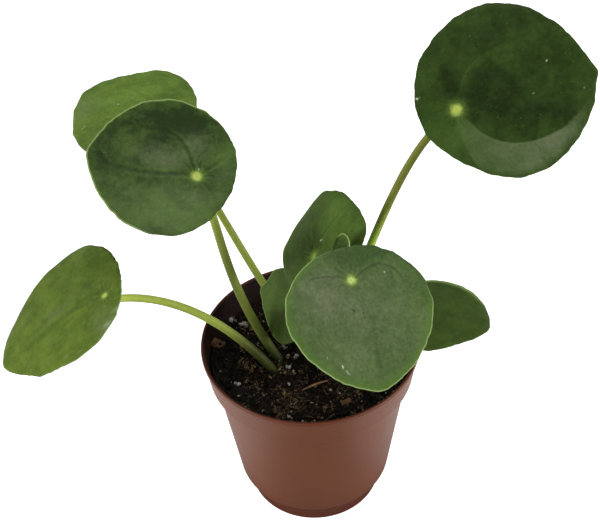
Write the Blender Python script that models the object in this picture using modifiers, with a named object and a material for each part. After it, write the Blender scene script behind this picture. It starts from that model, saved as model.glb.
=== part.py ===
"""A young Chinese money plant in its nursery pot.

Round leaf blades, each carried on a slim stalk that joins it from below at a spot off its middle. Most stalks grow
from a short main stem, and two come straight out of the soil. All lengths in the constants are millimetres, +Z is up,
and the origin is the middle of the pot's underside.
"""
import math
import random

import bmesh
import bpy
from mathutils import Matrix, Vector, noise

MM = 0.001
GAP = 0.3

# Pot: a thin moulded cup with a deep rim band, a stepped foot and a ring of drain holes
POT_HEIGHT = 74.0
RIM_RADIUS = 40.0
BAND_BOTTOM_RADIUS = 37.7
BAND_HEIGHT = 13.2
WALL_TOP_RADIUS = 35.8
SHOULDER_RADIUS = 28.9
SHOULDER_HEIGHT = 10.4
FOOT_TOP_RADIUS = 25.9
FOOT_BOTTOM_RADIUS = 25.3
WALL = 1.0
LIP_HEIGHT = 1.3
TURN_STEPS = 48
DRAIN_HOLES = 6
DRAIN_RADIUS = 3.0
DRAIN_REACH = 17.0

# Soil: a plug that fills the pot to just under the rim, lumpy on top
SOIL_LEVEL = 64.0
SOIL_LUMP = 1.5
SOIL_RINGS = 12
GRAIN_COUNT = 20
HOLE_DEPTH = 9.0

# Main stem: a short stub with a ring where each stalk has grown
STEM_PLACE = (3.0, 2.0)
STEM_RADIUS = 3.4
STEM_TOP = 81.5
STEM_BURIED = 12.0
STEM_RING = 2.4
STEM_STEPS = 12

# Blades and stalks: lengths along the outline are parts of the blade's radius
BLADE_THICKNESS = 0.8
BLADE_RINGS = (0.16, 0.44, 0.70, 0.88, 1.0)
POINT_WIDTH = 0.2
WAVES = 5.0
NERVE_REACH = 0.55
DIMPLE = 0.3
DIMPLE_WIDTH = 2.5
STALK_POINTS = 13

LEAF_GREEN = (0.050, 0.120, 0.022)
STALK_GREEN = (0.230, 0.330, 0.060)
STEM_BROWN = (0.130, 0.120, 0.050)
SOIL_BROWN = (0.022, 0.014, 0.010)
POT_TERRACOTTA = (0.230, 0.075, 0.045)

LEAVES = {
    "tall_right": dict(
        middle=(65.0, 10.8, 174.8), faces=(-0.034, -0.571, 0.820), tip=(0.992, 0.079, 0.096),
        radius=28.5, oval=-0.010, skew=0.0, egg=-0.002, square=0.016, point=1.2, spot=(-16.2, -4.3),
        dish=-1.0, fold=1.6, wave=0.3,
        root=(10.0, 72.0), start=(8.5, 3.0, 73.5), rise=(11.3, -1.0, 30.7), arrive=(16.2, -21.0, 29.3),
        thick=(3.2, 2.6), around=40,
    ),
    "upper_left": dict(
        middle=(-45.4, 4.5, 152.8), faces=(0.154, -0.418, 0.895), tip=(-0.977, 0.071, 0.201),
        radius=24.0, oval=-0.014, skew=0.0, egg=0.015, square=0.008, point=1.1, spot=(-11.0, 1.0),
        dish=2.0, fold=0.8, wave=0.3,
        root=None, start=(-11.2, -0.9, 64.0), rise=(-20.7, 7.9, 35.5), arrive=(-6.2, -11.0, 27.6),
        thick=(3.6, 2.8), around=36,
    ),
    "back_left": dict(
        middle=(-58.7, 43.2, 147.4), faces=(-0.105, -0.069, 0.992), tip=(-0.983, -0.141, -0.114),
        radius=22.5, oval=0.003, skew=0.0, egg=-0.007, square=-0.021, point=0.1, spot=(-9.5, 4.0),
        dish=0.0, fold=0.0, wave=0.5,
        root=(140.0, 70.5), start=(-1.4, 5.7, 71.5), rise=(-15.4, 5.5, 15.6), arrive=(-29.3, 0.2, 74.8),
        thick=(3.1, 2.4), around=32,
    ),
    "low_left": dict(
        middle=(-82.6, -18.1, 112.6), faces=(-0.530, -0.060, 0.846), tip=(-0.769, -0.387, -0.509),
        radius=25.7, oval=-0.011, skew=0.009, egg=0.044, square=-0.003, point=1.3, spot=(-15.1, 9.9),
        dish=-1.5, fold=0.0, wave=0.4,
        root=None, start=(-13.8, -5.4, 64.0), rise=(-18.0, 1.4, 31.0), arrive=(-12.8, -19.2, 15.9),
        thick=(3.5, 2.5), around=36,
    ),
    "centre_back": dict(
        middle=(4.3, 4.8, 117.4), faces=(-0.740, -0.083, 0.667), tip=(0.606, 0.348, 0.715),
        radius=20.6, oval=-0.066, skew=-0.021, egg=-0.012, square=-0.038, point=0.2, spot=(-4.6, -2.3),
        dish=-1.5, fold=0.0, wave=0.3,
        root=None, start=(2.1, 2.0, 81.8), rise=(0.0, 0.0, 13.0), arrive=(-4.0, -3.0, 13.0),
        thick=(2.4, 2.0), around=32,
    ),
    "centre_front": dict(
        middle=(17.1, -32.7, 119.7), faces=(0.186, -0.477, 0.859), tip=(0.232, -0.828, -0.510),
        radius=24.0, oval=-0.012, skew=-0.004, egg=0.030, square=0.010, point=1.2, spot=(-11.6, -0.2),
        dish=-1.0, fold=0.0, wave=0.3,
        root=(-62.0, 72.0), start=(5.7, -3.1, 73.2), rise=(2.5, -8.0, 20.0), arrive=(4.0, -5.0, 19.0),
        thick=(2.8, 2.4), around=36,
    ),
    "low_right": dict(
        middle=(43.5, -3.6, 89.1), faces=(0.117, 0.074, 0.990), tip=(0.961, -0.259, -0.094),
        radius=19.5, oval=0.020, skew=0.071, egg=0.007, square=0.011, point=0.8, spot=(-9.0, 0.0),
        dish=-0.8, fold=0.0, wave=0.4,
        root=(-22.0, 68.2), start=(8.3, -0.1, 69.3), rise=(6.0, -1.5, 8.0), arrive=(10.0, -2.0, 9.0),
        thick=(2.6, 2.2), around=32,
    ),
    "small_left": dict(
        middle=(-8.2, 4.3, 87.7), faces=(-0.802, -0.440, 0.402), tip=(-0.119, -0.543, -0.831),
        radius=13.5, oval=-0.010, skew=0.023, egg=0.008, square=0.015, point=0.3, spot=(-5.0, 5.0),
        dish=0.6, fold=0.0, wave=0.2,
        root=(168.0, 76.0), start=(-2.2, 3.1, 77.0), rise=(0.5, 1.5, 7.0), arrive=(-4.5, -2.0, 6.5),
        thick=(2.0, 1.6), around=24,
    ),
    "young": dict(
        middle=(11.4, -10.4, 127.5), faces=(-0.360, -0.340, 0.870), tip=(0.300, 0.600, 0.500),
        radius=5.0, oval=0.030, skew=0.0, egg=0.010, square=0.0, point=0.2, spot=(-3.6, -1.6),
        dish=0.6, fold=0.0, wave=0.0,
        root=None, start=(4.9, 2.0, 81.8), rise=(-2.0, -14.0, 12.0), arrive=(8.7, 13.8, 10.0),
        thick=(1.2, 1.0), around=18,
    ),
}


def clear_scene():
    for old in list(bpy.data.objects):
        bpy.data.objects.remove(old, do_unlink=True)


def new_collection(name):
    collection = bpy.data.collections.new(name)
    bpy.context.scene.collection.children.link(collection)
    return collection


def new_material(name, colour, roughness):
    material = bpy.data.materials.new(name)
    material.use_nodes = True
    shader = material.node_tree.nodes["Principled BSDF"]
    shader.inputs["Base Color"].default_value = (*colour, 1.0)
    shader.inputs["Roughness"].default_value = roughness
    shader.inputs["Metallic"].default_value = 0.0
    return material


def new_object(name, data, collection, colour=None, roughness=0.6):
    made = bpy.data.objects.new(name, data)
    collection.objects.link(made)
    if colour:
        data.materials.append(new_material(name, colour, roughness))
    return made


def mesh_from(bm, name):
    mesh = bpy.data.meshes.new(name)
    bm.to_mesh(mesh)
    bm.free()
    mesh.shade_smooth()
    return mesh


def new_cylinder(name, radius, length, sides, collection):
    bm = bmesh.new()
    bmesh.ops.create_cone(
        bm, cap_ends=True, segments=sides, radius1=radius * MM, radius2=radius * MM, depth=length * MM
    )
    return new_object(name, mesh_from(bm, name), collection)


def cut(target, cutter):
    """Takes the cutter's shape out of the target."""
    cutter.hide_render = True
    cutter.display_type = "WIRE"
    modifier = target.modifiers.new(cutter.name, "BOOLEAN")
    modifier.operation = "DIFFERENCE"
    modifier.object = cutter


# Pot
def pot_inner_radius(height):
    """The radius of the pot's inside at a height, up the foot, the wall and the band."""
    band_bottom = POT_HEIGHT - BAND_HEIGHT
    if height > band_bottom:
        part = (height - band_bottom) / BAND_HEIGHT
        return BAND_BOTTOM_RADIUS + part * (RIM_RADIUS - BAND_BOTTOM_RADIUS) - WALL
    if height > SHOULDER_HEIGHT:
        part = (height - SHOULDER_HEIGHT) / (band_bottom - SHOULDER_HEIGHT)
        return SHOULDER_RADIUS + part * (WALL_TOP_RADIUS - SHOULDER_RADIUS) - WALL
    return FOOT_BOTTOM_RADIUS - WALL


def pot_profile():
    """Half the pot's section: up the inside, over the lip and down the outside to the middle of the underside."""
    band_bottom = POT_HEIGHT - BAND_HEIGHT
    inside = [
        (0.0, WALL),
        (FOOT_BOTTOM_RADIUS - WALL, WALL),
        (FOOT_TOP_RADIUS - WALL, SHOULDER_HEIGHT + 0.4),
        (SHOULDER_RADIUS - WALL, SHOULDER_HEIGHT + 1.4),
        (WALL_TOP_RADIUS - WALL, band_bottom + 0.6),
        (BAND_BOTTOM_RADIUS - WALL, band_bottom + 1.4),
        (RIM_RADIUS - WALL - 0.3, POT_HEIGHT - LIP_HEIGHT),
        (RIM_RADIUS - WALL - 0.1, POT_HEIGHT - 0.3),
    ]
    outside = [
        (RIM_RADIUS - 0.8, POT_HEIGHT),
        (RIM_RADIUS - 0.2, POT_HEIGHT - 0.1),
        (RIM_RADIUS, POT_HEIGHT - 0.4),
        (RIM_RADIUS, POT_HEIGHT - LIP_HEIGHT),
        (RIM_RADIUS - 0.4, POT_HEIGHT - LIP_HEIGHT - 0.4),
        (BAND_BOTTOM_RADIUS, band_bottom + 0.5),
        (BAND_BOTTOM_RADIUS - 0.4, band_bottom),
        (WALL_TOP_RADIUS, band_bottom - 0.5),
        (SHOULDER_RADIUS, SHOULDER_HEIGHT + 0.3),
        (SHOULDER_RADIUS - 0.5, SHOULDER_HEIGHT - 0.2),
        (FOOT_TOP_RADIUS, SHOULDER_HEIGHT - 0.8),
        (FOOT_BOTTOM_RADIUS, 0.5),
        (FOOT_BOTTOM_RADIUS - 0.4, 0.0),
        (0.0, 0.0),
    ]
    return inside + outside


def make_pot(parts, cutters):
    bm = bmesh.new()
    verts = [bm.verts.new((radius * MM, 0.0, height * MM)) for radius, height in pot_profile()]
    for pair in zip(verts, verts[1:]):
        bm.edges.new(pair)
    pot = new_object("pot", mesh_from(bm, "pot"), parts, POT_TERRACOTTA, 0.55)
    screw = pot.modifiers.new("turned", "SCREW")
    screw.steps = TURN_STEPS
    screw.render_steps = TURN_STEPS
    screw.use_merge_vertices = True
    screw.merge_threshold = 0.00001
    for index in range(DRAIN_HOLES):
        turn = math.tau * (index + 0.5) / DRAIN_HOLES
        hole = new_cylinder(f"drain_hole_{index + 1}", DRAIN_RADIUS, 4.0 * WALL, 12, cutters)
        hole.location = (DRAIN_REACH * MM * math.cos(turn), DRAIN_REACH * MM * math.sin(turn), 0.0)
        cut(pot, hole)


# Leaves
class Leaf:
    """One leaf: the plane its blade lies near, the blade's outline and curve, and the spot that the stalk joins."""

    def __init__(self, name, sizes):
        self.name = name
        self.sizes = sizes
        self.up = Vector(sizes["faces"]).normalized()
        ahead = Vector(sizes["tip"])
        self.ahead = (ahead - ahead.dot(self.up) * self.up).normalized()
        self.side = self.up.cross(self.ahead)
        self.middle = Vector(sizes["middle"])

    def matrix(self):
        """The blade's own frame: x to the tip, y to its left and z out of its upper face."""
        turn = Matrix((self.ahead, self.side, self.up)).transposed().to_4x4()
        return Matrix.Translation(self.middle * MM) @ turn

    def margin(self, angle):
        """The distance from the blade's middle to its edge: a near circle with a small point at the tip."""
        sizes = self.sizes
        round_part = 1.0 + sizes["oval"] * math.cos(2.0 * angle) + sizes["skew"] * math.sin(2.0 * angle)
        round_part += sizes["egg"] * math.cos(3.0 * angle) + sizes["square"] * math.cos(4.0 * angle)
        from_tip = (angle + math.pi) % math.tau - math.pi
        return sizes["radius"] * round_part + sizes["point"] * math.exp(-((from_tip / POINT_WIDTH) ** 2))

    def lift(self, x, y):
        """How far the upper face stands off the blade's plane: a shallow dish with a waved edge, folded along one
        side nerve and dimpled over the stalk. The waves start at another place on each size of blade."""
        sizes = self.sizes
        reach = math.hypot(x, y) / sizes["radius"]
        level = sizes["dish"] * reach ** 2
        wave_start = sizes["radius"]
        level += sizes["wave"] * reach ** 4 * math.cos(WAVES * math.atan2(y, x) + wave_start)
        past_nerve = max(0.0, -y / sizes["radius"] - NERVE_REACH)
        level += sizes["fold"] * past_nerve
        to_spot = math.hypot(x - sizes["spot"][0], y - sizes["spot"][1])
        return level - DIMPLE * math.exp(-((to_spot / DIMPLE_WIDTH) ** 2))

    def place(self, part, angle):
        """A point of the upper face, part of the way from the spot to the edge."""
        spot_x, spot_y = self.sizes["spot"]
        reach = self.margin(angle)
        x = spot_x + part * (reach * math.cos(angle) - spot_x)
        y = spot_y + part * (reach * math.sin(angle) - spot_y)
        return Vector((x, y, self.lift(x, y)))

    def seat(self):
        """Where the stalk ends: a gap under the blade at its spot, in the pot's frame."""
        spot_x, spot_y = self.sizes["spot"]
        under = self.lift(spot_x, spot_y) - BLADE_THICKNESS - GAP
        return self.middle + spot_x * self.ahead + spot_y * self.side + under * self.up


def round_sheet(rings, around):
    """A flat round sheet of radius 1, in triangles, with its points on the given rings."""
    bm = bmesh.new()
    line = [bm.verts.new((part, 0.0, 0.0)) for part in (0.0, *rings)]
    edges = [bm.edges.new(pair) for pair in zip(line, line[1:])]
    bmesh.ops.spin(bm, geom=line + edges, axis=(0.0, 0.0, 1.0), cent=(0.0, 0.0, 0.0), angle=math.tau, steps=around)
    bmesh.ops.remove_doubles(bm, verts=bm.verts, dist=0.0001)
    bmesh.ops.triangulate(bm, faces=bm.faces)
    bm.normal_update()
    if sum(face.normal.z for face in bm.faces) < 0.0:
        bmesh.ops.reverse_faces(bm, faces=bm.faces)
    return bm


def make_blade(leaf, parts):
    bm = round_sheet(BLADE_RINGS, leaf.sizes["around"])
    for vert in bm.verts:
        part = vert.co.to_2d().length
        angle = math.atan2(vert.co.y, vert.co.x)
        vert.co = leaf.place(part, angle) * MM
    name = f"blade_{leaf.name}"
    blade = new_object(name, mesh_from(bm, name), parts, LEAF_GREEN, 0.42)
    blade.matrix_world = leaf.matrix()
    sheet = blade.modifiers.new("thickness", "SOLIDIFY")
    sheet.thickness = BLADE_THICKNESS * MM
    sheet.offset = -1.0


def stalk_route(leaf):
    """The stalk's middle line: a short foot square to what it grows from, one long bend and a short end square
    to the blade."""
    sizes = leaf.sizes
    start = Vector(sizes["start"])
    seat = leaf.seat()
    last = seat - 1.3 * leaf.up
    rise = start + Vector(sizes["rise"])
    arrive = last - Vector(sizes["arrive"])
    route = []
    if sizes["root"]:
        turn, height = sizes["root"]
        turn = math.radians(turn)
        out = Vector((math.cos(turn), math.sin(turn), 0.0))
        axis = Vector((*STEM_PLACE, height))
        route.append(axis + (STEM_RADIUS + GAP) * out)
        route.append(axis + (STEM_RADIUS + 3.0 * GAP) * out)
    elif start.z < SOIL_LEVEL + 1.0:
        route.append(start - Vector((0.0, 0.0, HOLE_DEPTH - GAP)))
    for index in range(STALK_POINTS):
        part = index / (STALK_POINTS - 1)
        rest = 1.0 - part
        point = rest ** 3 * start + 3.0 * rest ** 2 * part * rise
        point += 3.0 * rest * part ** 2 * arrive + part ** 3 * last
        route.append(point)
    route.append(seat)
    return route


def make_stalk(leaf, parts):
    name = f"stalk_{leaf.name}"
    curve = bpy.data.curves.new(name, "CURVE")
    curve.dimensions = "3D"
    curve.bevel_depth = MM
    curve.bevel_resolution = 2
    curve.use_fill_caps = True
    route = stalk_route(leaf)
    spline = curve.splines.new("POLY")
    spline.points.add(len(route) - 1)
    thick, thin = leaf.sizes["thick"]
    for index, point in enumerate(route):
        part = index / (len(route) - 1)
        spline.points[index].co = (*(point * MM), 1.0)
        spline.points[index].radius = 0.5 * (thick + part * (thin - thick))
    new_object(name, curve, parts, STALK_GREEN, 0.45)


# Main stem
def make_stem(parts):
    """A stub that tapers to its growing tip, with a swollen ring every few millimetres."""
    base = SOIL_LEVEL - STEM_BURIED
    profile = [(0.0, STEM_TOP), (2.7, STEM_TOP), (3.0, STEM_TOP - 0.5)]
    height = STEM_TOP - 2.0
    swell = False
    while height > base + 1.0:
        profile.append((STEM_RADIUS - (0.0 if swell else 0.25), height))
        swell = not swell
        height -= STEM_RING
    profile += [(STEM_RADIUS - 0.2, base + 0.6), (STEM_RADIUS - 0.7, base), (0.0, base)]
    bm = bmesh.new()
    verts = [bm.verts.new((radius * MM, 0.0, level * MM)) for radius, level in profile]
    for pair in zip(verts, verts[1:]):
        bm.edges.new(pair)
    stem = new_object("main_stem", mesh_from(bm, "main_stem"), parts, STEM_BROWN, 0.7)
    stem.location = (STEM_PLACE[0] * MM, STEM_PLACE[1] * MM, 0.0)
    screw = stem.modifiers.new("turned", "SCREW")
    screw.steps = STEM_STEPS
    screw.render_steps = STEM_STEPS
    screw.use_merge_vertices = True
    screw.merge_threshold = 0.00001


# Soil
def rooted_places():
    """Each place where something stands in the soil, with its radius there."""
    places = [(*STEM_PLACE, STEM_RADIUS)]
    for sizes in LEAVES.values():
        x, y, z = sizes["start"]
        if z < SOIL_LEVEL + 1.0:
            places.append((x, y, 0.5 * sizes["thick"][0]))
    return places


def soil_height(x, y):
    """The soil's top: lumps and crumbs, calmer round each stem and at the pot's wall."""
    lumps = noise.noise(Vector((x / 9.0, y / 9.0, 0.3))) + 0.6 * noise.noise(Vector((x / 4.0, y / 4.0, 7.1)))
    calm = min(1.0, max(0.0, (RIM_RADIUS - 5.0 - math.hypot(x, y)) / 4.0))
    for place_x, place_y, radius in rooted_places():
        calm = min(calm, max(0.0, (math.hypot(x - place_x, y - place_y) - radius - 0.5) / 5.0))
    return SOIL_LEVEL - 0.6 + SOIL_LUMP * calm * lumps


def soil_plug():
    """The soil as one turned body, its top points set to the soil's height."""
    edge = pot_inner_radius(SOIL_LEVEL - 1.0) - GAP
    wall_top = POT_HEIGHT - BAND_HEIGHT + 0.6
    wall_bottom = SHOULDER_HEIGHT + 1.4
    profile = [(edge * ring / SOIL_RINGS, SOIL_LEVEL) for ring in range(SOIL_RINGS + 1)]
    profile += [
        (BAND_BOTTOM_RADIUS - WALL - GAP, wall_top + 1.0),
        (WALL_TOP_RADIUS - WALL - 1.5 * GAP, wall_top),
        (SHOULDER_RADIUS - WALL - GAP, wall_bottom + GAP),
        (FOOT_TOP_RADIUS - WALL - GAP, SHOULDER_HEIGHT + 0.4 + GAP),
        (FOOT_BOTTOM_RADIUS - WALL - GAP, WALL + GAP),
        (0.0, WALL + GAP),
    ]
    bm = bmesh.new()
    line = [bm.verts.new((radius, 0.0, level)) for radius, level in profile]
    edges = [bm.edges.new(pair) for pair in zip(line, line[1:])]
    bmesh.ops.spin(
        bm, geom=line + edges, axis=(0.0, 0.0, 1.0), cent=(0.0, 0.0, 0.0), angle=math.tau, steps=TURN_STEPS
    )
    bmesh.ops.remove_doubles(bm, verts=bm.verts, dist=0.001)
    for vert in bm.verts:
        if vert.co.z > SOIL_LEVEL - 0.5:
            vert.co.z = soil_height(vert.co.x, vert.co.y)
    bmesh.ops.recalc_face_normals(bm, faces=bm.faces)
    bmesh.ops.scale(bm, vec=(MM, MM, MM), verts=bm.verts)
    return mesh_from(bm, "soil")


def add_grains(grains):
    """Crumbs and grit, each sunk to its middle in the soil's top, clear of the stems and the wall."""
    draw = random.Random(11)
    placed = []
    while len(placed) < GRAIN_COUNT:
        reach = 33.0 * math.sqrt(draw.random())
        turn = math.tau * draw.random()
        x, y = reach * math.cos(turn), reach * math.sin(turn)
        size = draw.uniform(1.1, 2.0)
        if any(math.hypot(x - a, y - b) < radius + 4.5 for a, b, radius in rooted_places()):
            continue
        if any(math.hypot(x - a, y - b) < size + other + 0.8 for a, b, other in placed):
            continue
        placed.append((x, y, size))
        bm = bmesh.new()
        bmesh.ops.create_icosphere(bm, subdivisions=1, radius=size * MM)
        bmesh.ops.scale(bm, vec=(1.0, draw.uniform(0.7, 1.0), draw.uniform(0.7, 0.9)), verts=bm.verts)
        bmesh.ops.rotate(bm, matrix=Matrix.Rotation(draw.uniform(0.0, math.pi), 3, "Z"), verts=bm.verts)
        bmesh.ops.translate(bm, vec=Vector((x, y, soil_height(x, y))) * MM, verts=bm.verts)
        name = f"grain_{len(placed)}"
        new_object(name, mesh_from(bm, name), grains)


def make_soil(parts, cutters):
    """The soil with its grit joined on in one union, then its plain holes for the stems."""
    soil = new_object("soil", soil_plug(), parts, SOIL_BROWN, 0.9)
    grains = new_collection("grit")
    add_grains(grains)
    union = soil.modifiers.new("grit", "BOOLEAN")
    union.operation = "UNION"
    union.operand_type = "COLLECTION"
    union.collection = grains
    graph = bpy.context.evaluated_depsgraph_get()
    joined = bpy.data.meshes.new_from_object(soil.evaluated_get(graph))
    soil.modifiers.clear()
    soil.data = joined
    for grain in list(grains.objects):
        bpy.data.objects.remove(grain, do_unlink=True)
    bpy.data.collections.remove(grains)
    for index, (x, y, radius) in enumerate(rooted_places()):
        depth = STEM_BURIED + GAP if index == 0 else HOLE_DEPTH
        hole = new_cylinder(f"stem_hole_{index + 1}", radius + GAP, 2.0 * depth, 16, cutters)
        hole.location = (x * MM, y * MM, SOIL_LEVEL * MM)
        cut(soil, hole)


def main():
    clear_scene()
    parts = new_collection("potted_chinese_money_plant")
    cutters = new_collection("cutters")
    make_pot(parts, cutters)
    make_soil(parts, cutters)
    make_stem(parts)
    for name, sizes in LEAVES.items():
        leaf = Leaf(name, sizes)
        make_blade(leaf, parts)
        make_stalk(leaf, parts)


main()
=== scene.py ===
"""A young Chinese money plant in its nursery pot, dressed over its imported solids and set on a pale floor."""

import math
import random

import bmesh
import bpy
from mathutils import Matrix, Vector, kdtree, noise


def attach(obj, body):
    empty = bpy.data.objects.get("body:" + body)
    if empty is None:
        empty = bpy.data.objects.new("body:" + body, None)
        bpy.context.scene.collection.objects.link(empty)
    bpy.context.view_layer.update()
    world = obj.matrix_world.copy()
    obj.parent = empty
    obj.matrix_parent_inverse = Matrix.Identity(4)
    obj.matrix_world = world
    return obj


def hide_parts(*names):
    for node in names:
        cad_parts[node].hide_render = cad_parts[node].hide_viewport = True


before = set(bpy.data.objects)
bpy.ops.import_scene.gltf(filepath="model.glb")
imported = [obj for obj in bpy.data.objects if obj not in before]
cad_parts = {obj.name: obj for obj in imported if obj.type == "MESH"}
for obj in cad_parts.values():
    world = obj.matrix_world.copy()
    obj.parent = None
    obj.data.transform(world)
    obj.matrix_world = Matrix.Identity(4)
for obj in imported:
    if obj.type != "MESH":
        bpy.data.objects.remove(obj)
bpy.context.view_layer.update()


# Pot
# One moulding of thin terracotta-coloured plastic, as nurseries use them. It has a thin lip, a deep band
# that stiffens the rim, a plain tapered wall, a stepped foot to stack by, and a floor with six drain holes.
MM = 0.001
POT_TURN_STEPS = 144
POT_SECTION = [
    (0.0, 1.0), (24.3, 1.0), (24.9, 10.8), (27.9, 11.8), (34.8, 61.4), (36.7, 62.2), (38.7, 72.6),
    (38.85, 73.9), (39.85, 74.0), (40.0, 72.8), (39.9, 72.3), (39.4, 72.0), (37.95, 61.2), (35.9, 60.4),
    (29.1, 10.7), (28.6, 10.0), (26.7, 9.6), (26.3, 5.2), (25.7, 4.8), (25.35, 0.0), (0.0, 0.0),
]
POT_EDGE_ROUND = 0.24
POT_CORNER = 0.35
POT_SUPPORT = 0.9
POT_FLOOR_TOP = 20.0
DRAIN_HOLES = 6
DRAIN_RADIUS = 3.0
DRAIN_REACH = 17.0
DRAIN_DEPTH = 4.0
SAME_PLACE = 0.001


def opaque(value):
    """A plain colour of three numbers gets its alpha. Anything else stays as it is."""
    return (*value, 1.0) if isinstance(value, tuple) else value


class Nodes:
    """The nodes of one material or node group, and the sockets at its end that they feed."""

    def __init__(self, tree, ends):
        self.tree = tree
        self.ends = ends

    def add(self, kind, inputs, **settings):
        """A node with its settings, its fixed values and its links."""
        made = self.tree.nodes.new("ShaderNode" + kind)
        for name, value in settings.items():
            setattr(made, name, value)
        for socket, value in inputs.items():
            if isinstance(value, bpy.types.NodeSocket):
                self.tree.links.new(value, made.inputs[socket])
            else:
                made.inputs[socket].default_value = value
        return made

    def feed(self, end, value):
        self.tree.links.new(value, self.ends[end])

    def bump(self, height, depth):
        """Feeds a height pattern of the given depth, in metres, to the shader's normal."""
        made = self.add("Bump", {"Height": height, "Distance": depth, "Strength": 1.0})
        self.feed("Normal", made.outputs["Normal"])

    def work_out(self, operation, first, second=0.0, **settings):
        return self.add("Math", {0: first, 1: second}, operation=operation, **settings).outputs[0]

    def times(self, first, second):
        return self.work_out("MULTIPLY", first, second)

    def plus(self, first, second):
        return self.work_out("ADD", first, second)

    def step(self, value, low, high):
        """0 below low, 1 above high and an even change between them; low may be the larger one."""
        ends = {"Value": value, "From Min": low, "From Max": high}
        return self.add("MapRange", ends, interpolation_type="SMOOTHSTEP").outputs["Result"]

    def stretch(self, value, low, high, least=0.0, most=1.0):
        """The value's span from least to most laid over the span from low to high."""
        ends = {"Value": value, "From Min": least, "From Max": most, "To Min": low, "To Max": high}
        return self.add("MapRange", ends).outputs["Result"]

    def mix(self, share, first, second, **settings):
        inputs = {0: share, 6: opaque(first), 7: opaque(second)}
        return self.add("Mix", inputs, data_type="RGBA", **settings).outputs[2]

    def tint(self, share, colour, by, **settings):
        return self.mix(share, colour, by, blend_type="MULTIPLY", **settings)

    def cloud(self, place, scale, detail=2.0, roughness=0.6):
        inputs = {"Vector": place, "Scale": scale, "Detail": detail, "Roughness": roughness}
        return self.add("TexNoise", inputs).outputs[0]

    def carried(self, name):
        """The value of this name that the mesh's points carry."""
        return self.add("Attribute", {}, attribute_name=name, attribute_type="GEOMETRY").outputs["Fac"]

    def here(self, axis):
        """How far along an axis a place on the surface lies, in metres."""
        place = self.add("TexCoord", {}).outputs["Object"]
        return self.add("SeparateXYZ", {0: place}).outputs[axis]


def new_group(name, inputs, outputs):
    """An empty shader node group with its sockets, as nodes to add to, and what it is given."""
    group = bpy.data.node_groups.new(name, "ShaderNodeTree")
    for label, kind, value in inputs:
        socket = group.interface.new_socket(label, in_out="INPUT", socket_type="NodeSocket" + kind)
        socket.default_value = value
    for label, kind in outputs:
        group.interface.new_socket(label, in_out="OUTPUT", socket_type="NodeSocket" + kind)
    given = group.nodes.new("NodeGroupInput").outputs
    return Nodes(group, group.nodes.new("NodeGroupOutput").inputs), given


def grain_group():
    """Broad clouds and fine grain on Object coordinates, for a surface that is never quite even."""
    make, given = new_group(
        "uneven_grain",
        [("Cloud Scale", "Float", 80.0), ("Grain Scale", "Float", 900.0)],
        [("Clouds", "Float"), ("Grain", "Float")],
    )
    place = make.add("TexCoord", {}).outputs["Object"]
    clouds = make.cloud(place, given["Cloud Scale"], 3.0, 0.55)
    grain = make.cloud(place, given["Grain Scale"], 3.0, 0.6)
    make.feed("Clouds", make.step(clouds, 0.32, 0.68))
    make.feed("Grain", make.step(grain, 0.3, 0.7))
    return make.tree


UNEVEN_GRAIN = grain_group()


def place_grain(make, cloud_scale, grain_scale):
    scales = {"Cloud Scale": cloud_scale, "Grain Scale": grain_scale}
    made = make.add("Group", scales, node_tree=UNEVEN_GRAIN)
    return made.outputs["Clouds"], made.outputs["Grain"]


def new_material(name, roughness, specular):
    """A material with its plain shader, and the nodes that feed it."""
    material = bpy.data.materials.new(name)
    material.use_nodes = True
    shader = material.node_tree.nodes["Principled BSDF"]
    shader.inputs["Roughness"].default_value = roughness
    shader.inputs["Specular IOR Level"].default_value = specular
    return material, Nodes(material.node_tree, shader.inputs)


def pot_plastic():
    """Terracotta-coloured plastic, darker at the lip, with painted shade under the lip and at the foot."""
    material, make = new_material("pot_plastic", 0.36, 0.33)
    clouds, grain = place_grain(make, 45.0, 1400.0)
    height = make.here("Z")
    body = make.mix(clouds, (0.147, 0.039, 0.012), (0.162, 0.045, 0.015))
    # Painted shade: a dark line in the groove under the lip
    groove_shade = make.times(make.step(height, 0.0713, 0.0719), make.step(height, 0.0726, 0.0721))
    body = make.mix(make.times(groove_shade, 0.6), body, (0.050, 0.014, 0.006))
    # Painted shade at the foot, darkest below its step and fading out about 26 mm up the wall
    foot = make.times(make.step(height, 0.0112, 0.0096), 0.6)
    foot = make.plus(foot, make.times(make.step(height, 0.026, 0.004), 0.4))
    body = make.mix(foot, body, (0.098, 0.016, 0.002))
    lip = make.step(height, 0.0724, 0.0730)
    make.feed("Base Color", make.mix(lip, body, (0.118, 0.024, 0.004)))
    make.feed("Roughness", make.stretch(clouds, 0.32, 0.40))
    make.bump(grain, 0.00003)
    return material


def pot_inside():
    """The inner wall, dark right up to the rim: painted shade of the pot's hollow, together with the stain
    that damp soil leaves on it.
    """
    material, make = new_material("pot_inside", 0.6, 0.15)
    clouds, grain = place_grain(make, 120.0, 900.0)
    # Painted shade of the hollow, with the damp soil's stain, over the whole inner wall below the rim's top
    shade_and_film = make.times(make.step(make.here("Z"), 0.0741, 0.0736), 0.88)
    shade_and_film = make.plus(shade_and_film, make.times(clouds, 0.12))
    make.feed("Base Color", make.mix(shade_and_film, (0.110, 0.034, 0.018), (0.013, 0.006, 0.005)))
    make.bump(grain, 0.0001)
    return material


def spun(bm, line, steps, near):
    """Turns a line of points once about the upright axis and joins those that end up as near as this."""
    edges = [bm.edges.new(pair) for pair in zip(line, line[1:])]
    bmesh.ops.spin(
        bm, geom=line + edges, cent=(0.0, 0.0, 0.0), axis=(0.0, 0.0, 1.0), dvec=(0.0, 0.0, 0.0),
        angle=math.tau, steps=steps, use_merge=True, use_duplicate=False,
    )
    bmesh.ops.remove_doubles(bm, verts=bm.verts, dist=near)


def turned(bm, section, steps):
    """Turns a line of radii and heights, in millimetres, into a closed body round the upright axis."""
    line = [bm.verts.new((radius * MM, 0.0, height * MM)) for radius, height in section]
    spun(bm, line, steps, SAME_PLACE * MM)
    bmesh.ops.recalc_face_normals(bm, faces=bm.faces)


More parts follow.
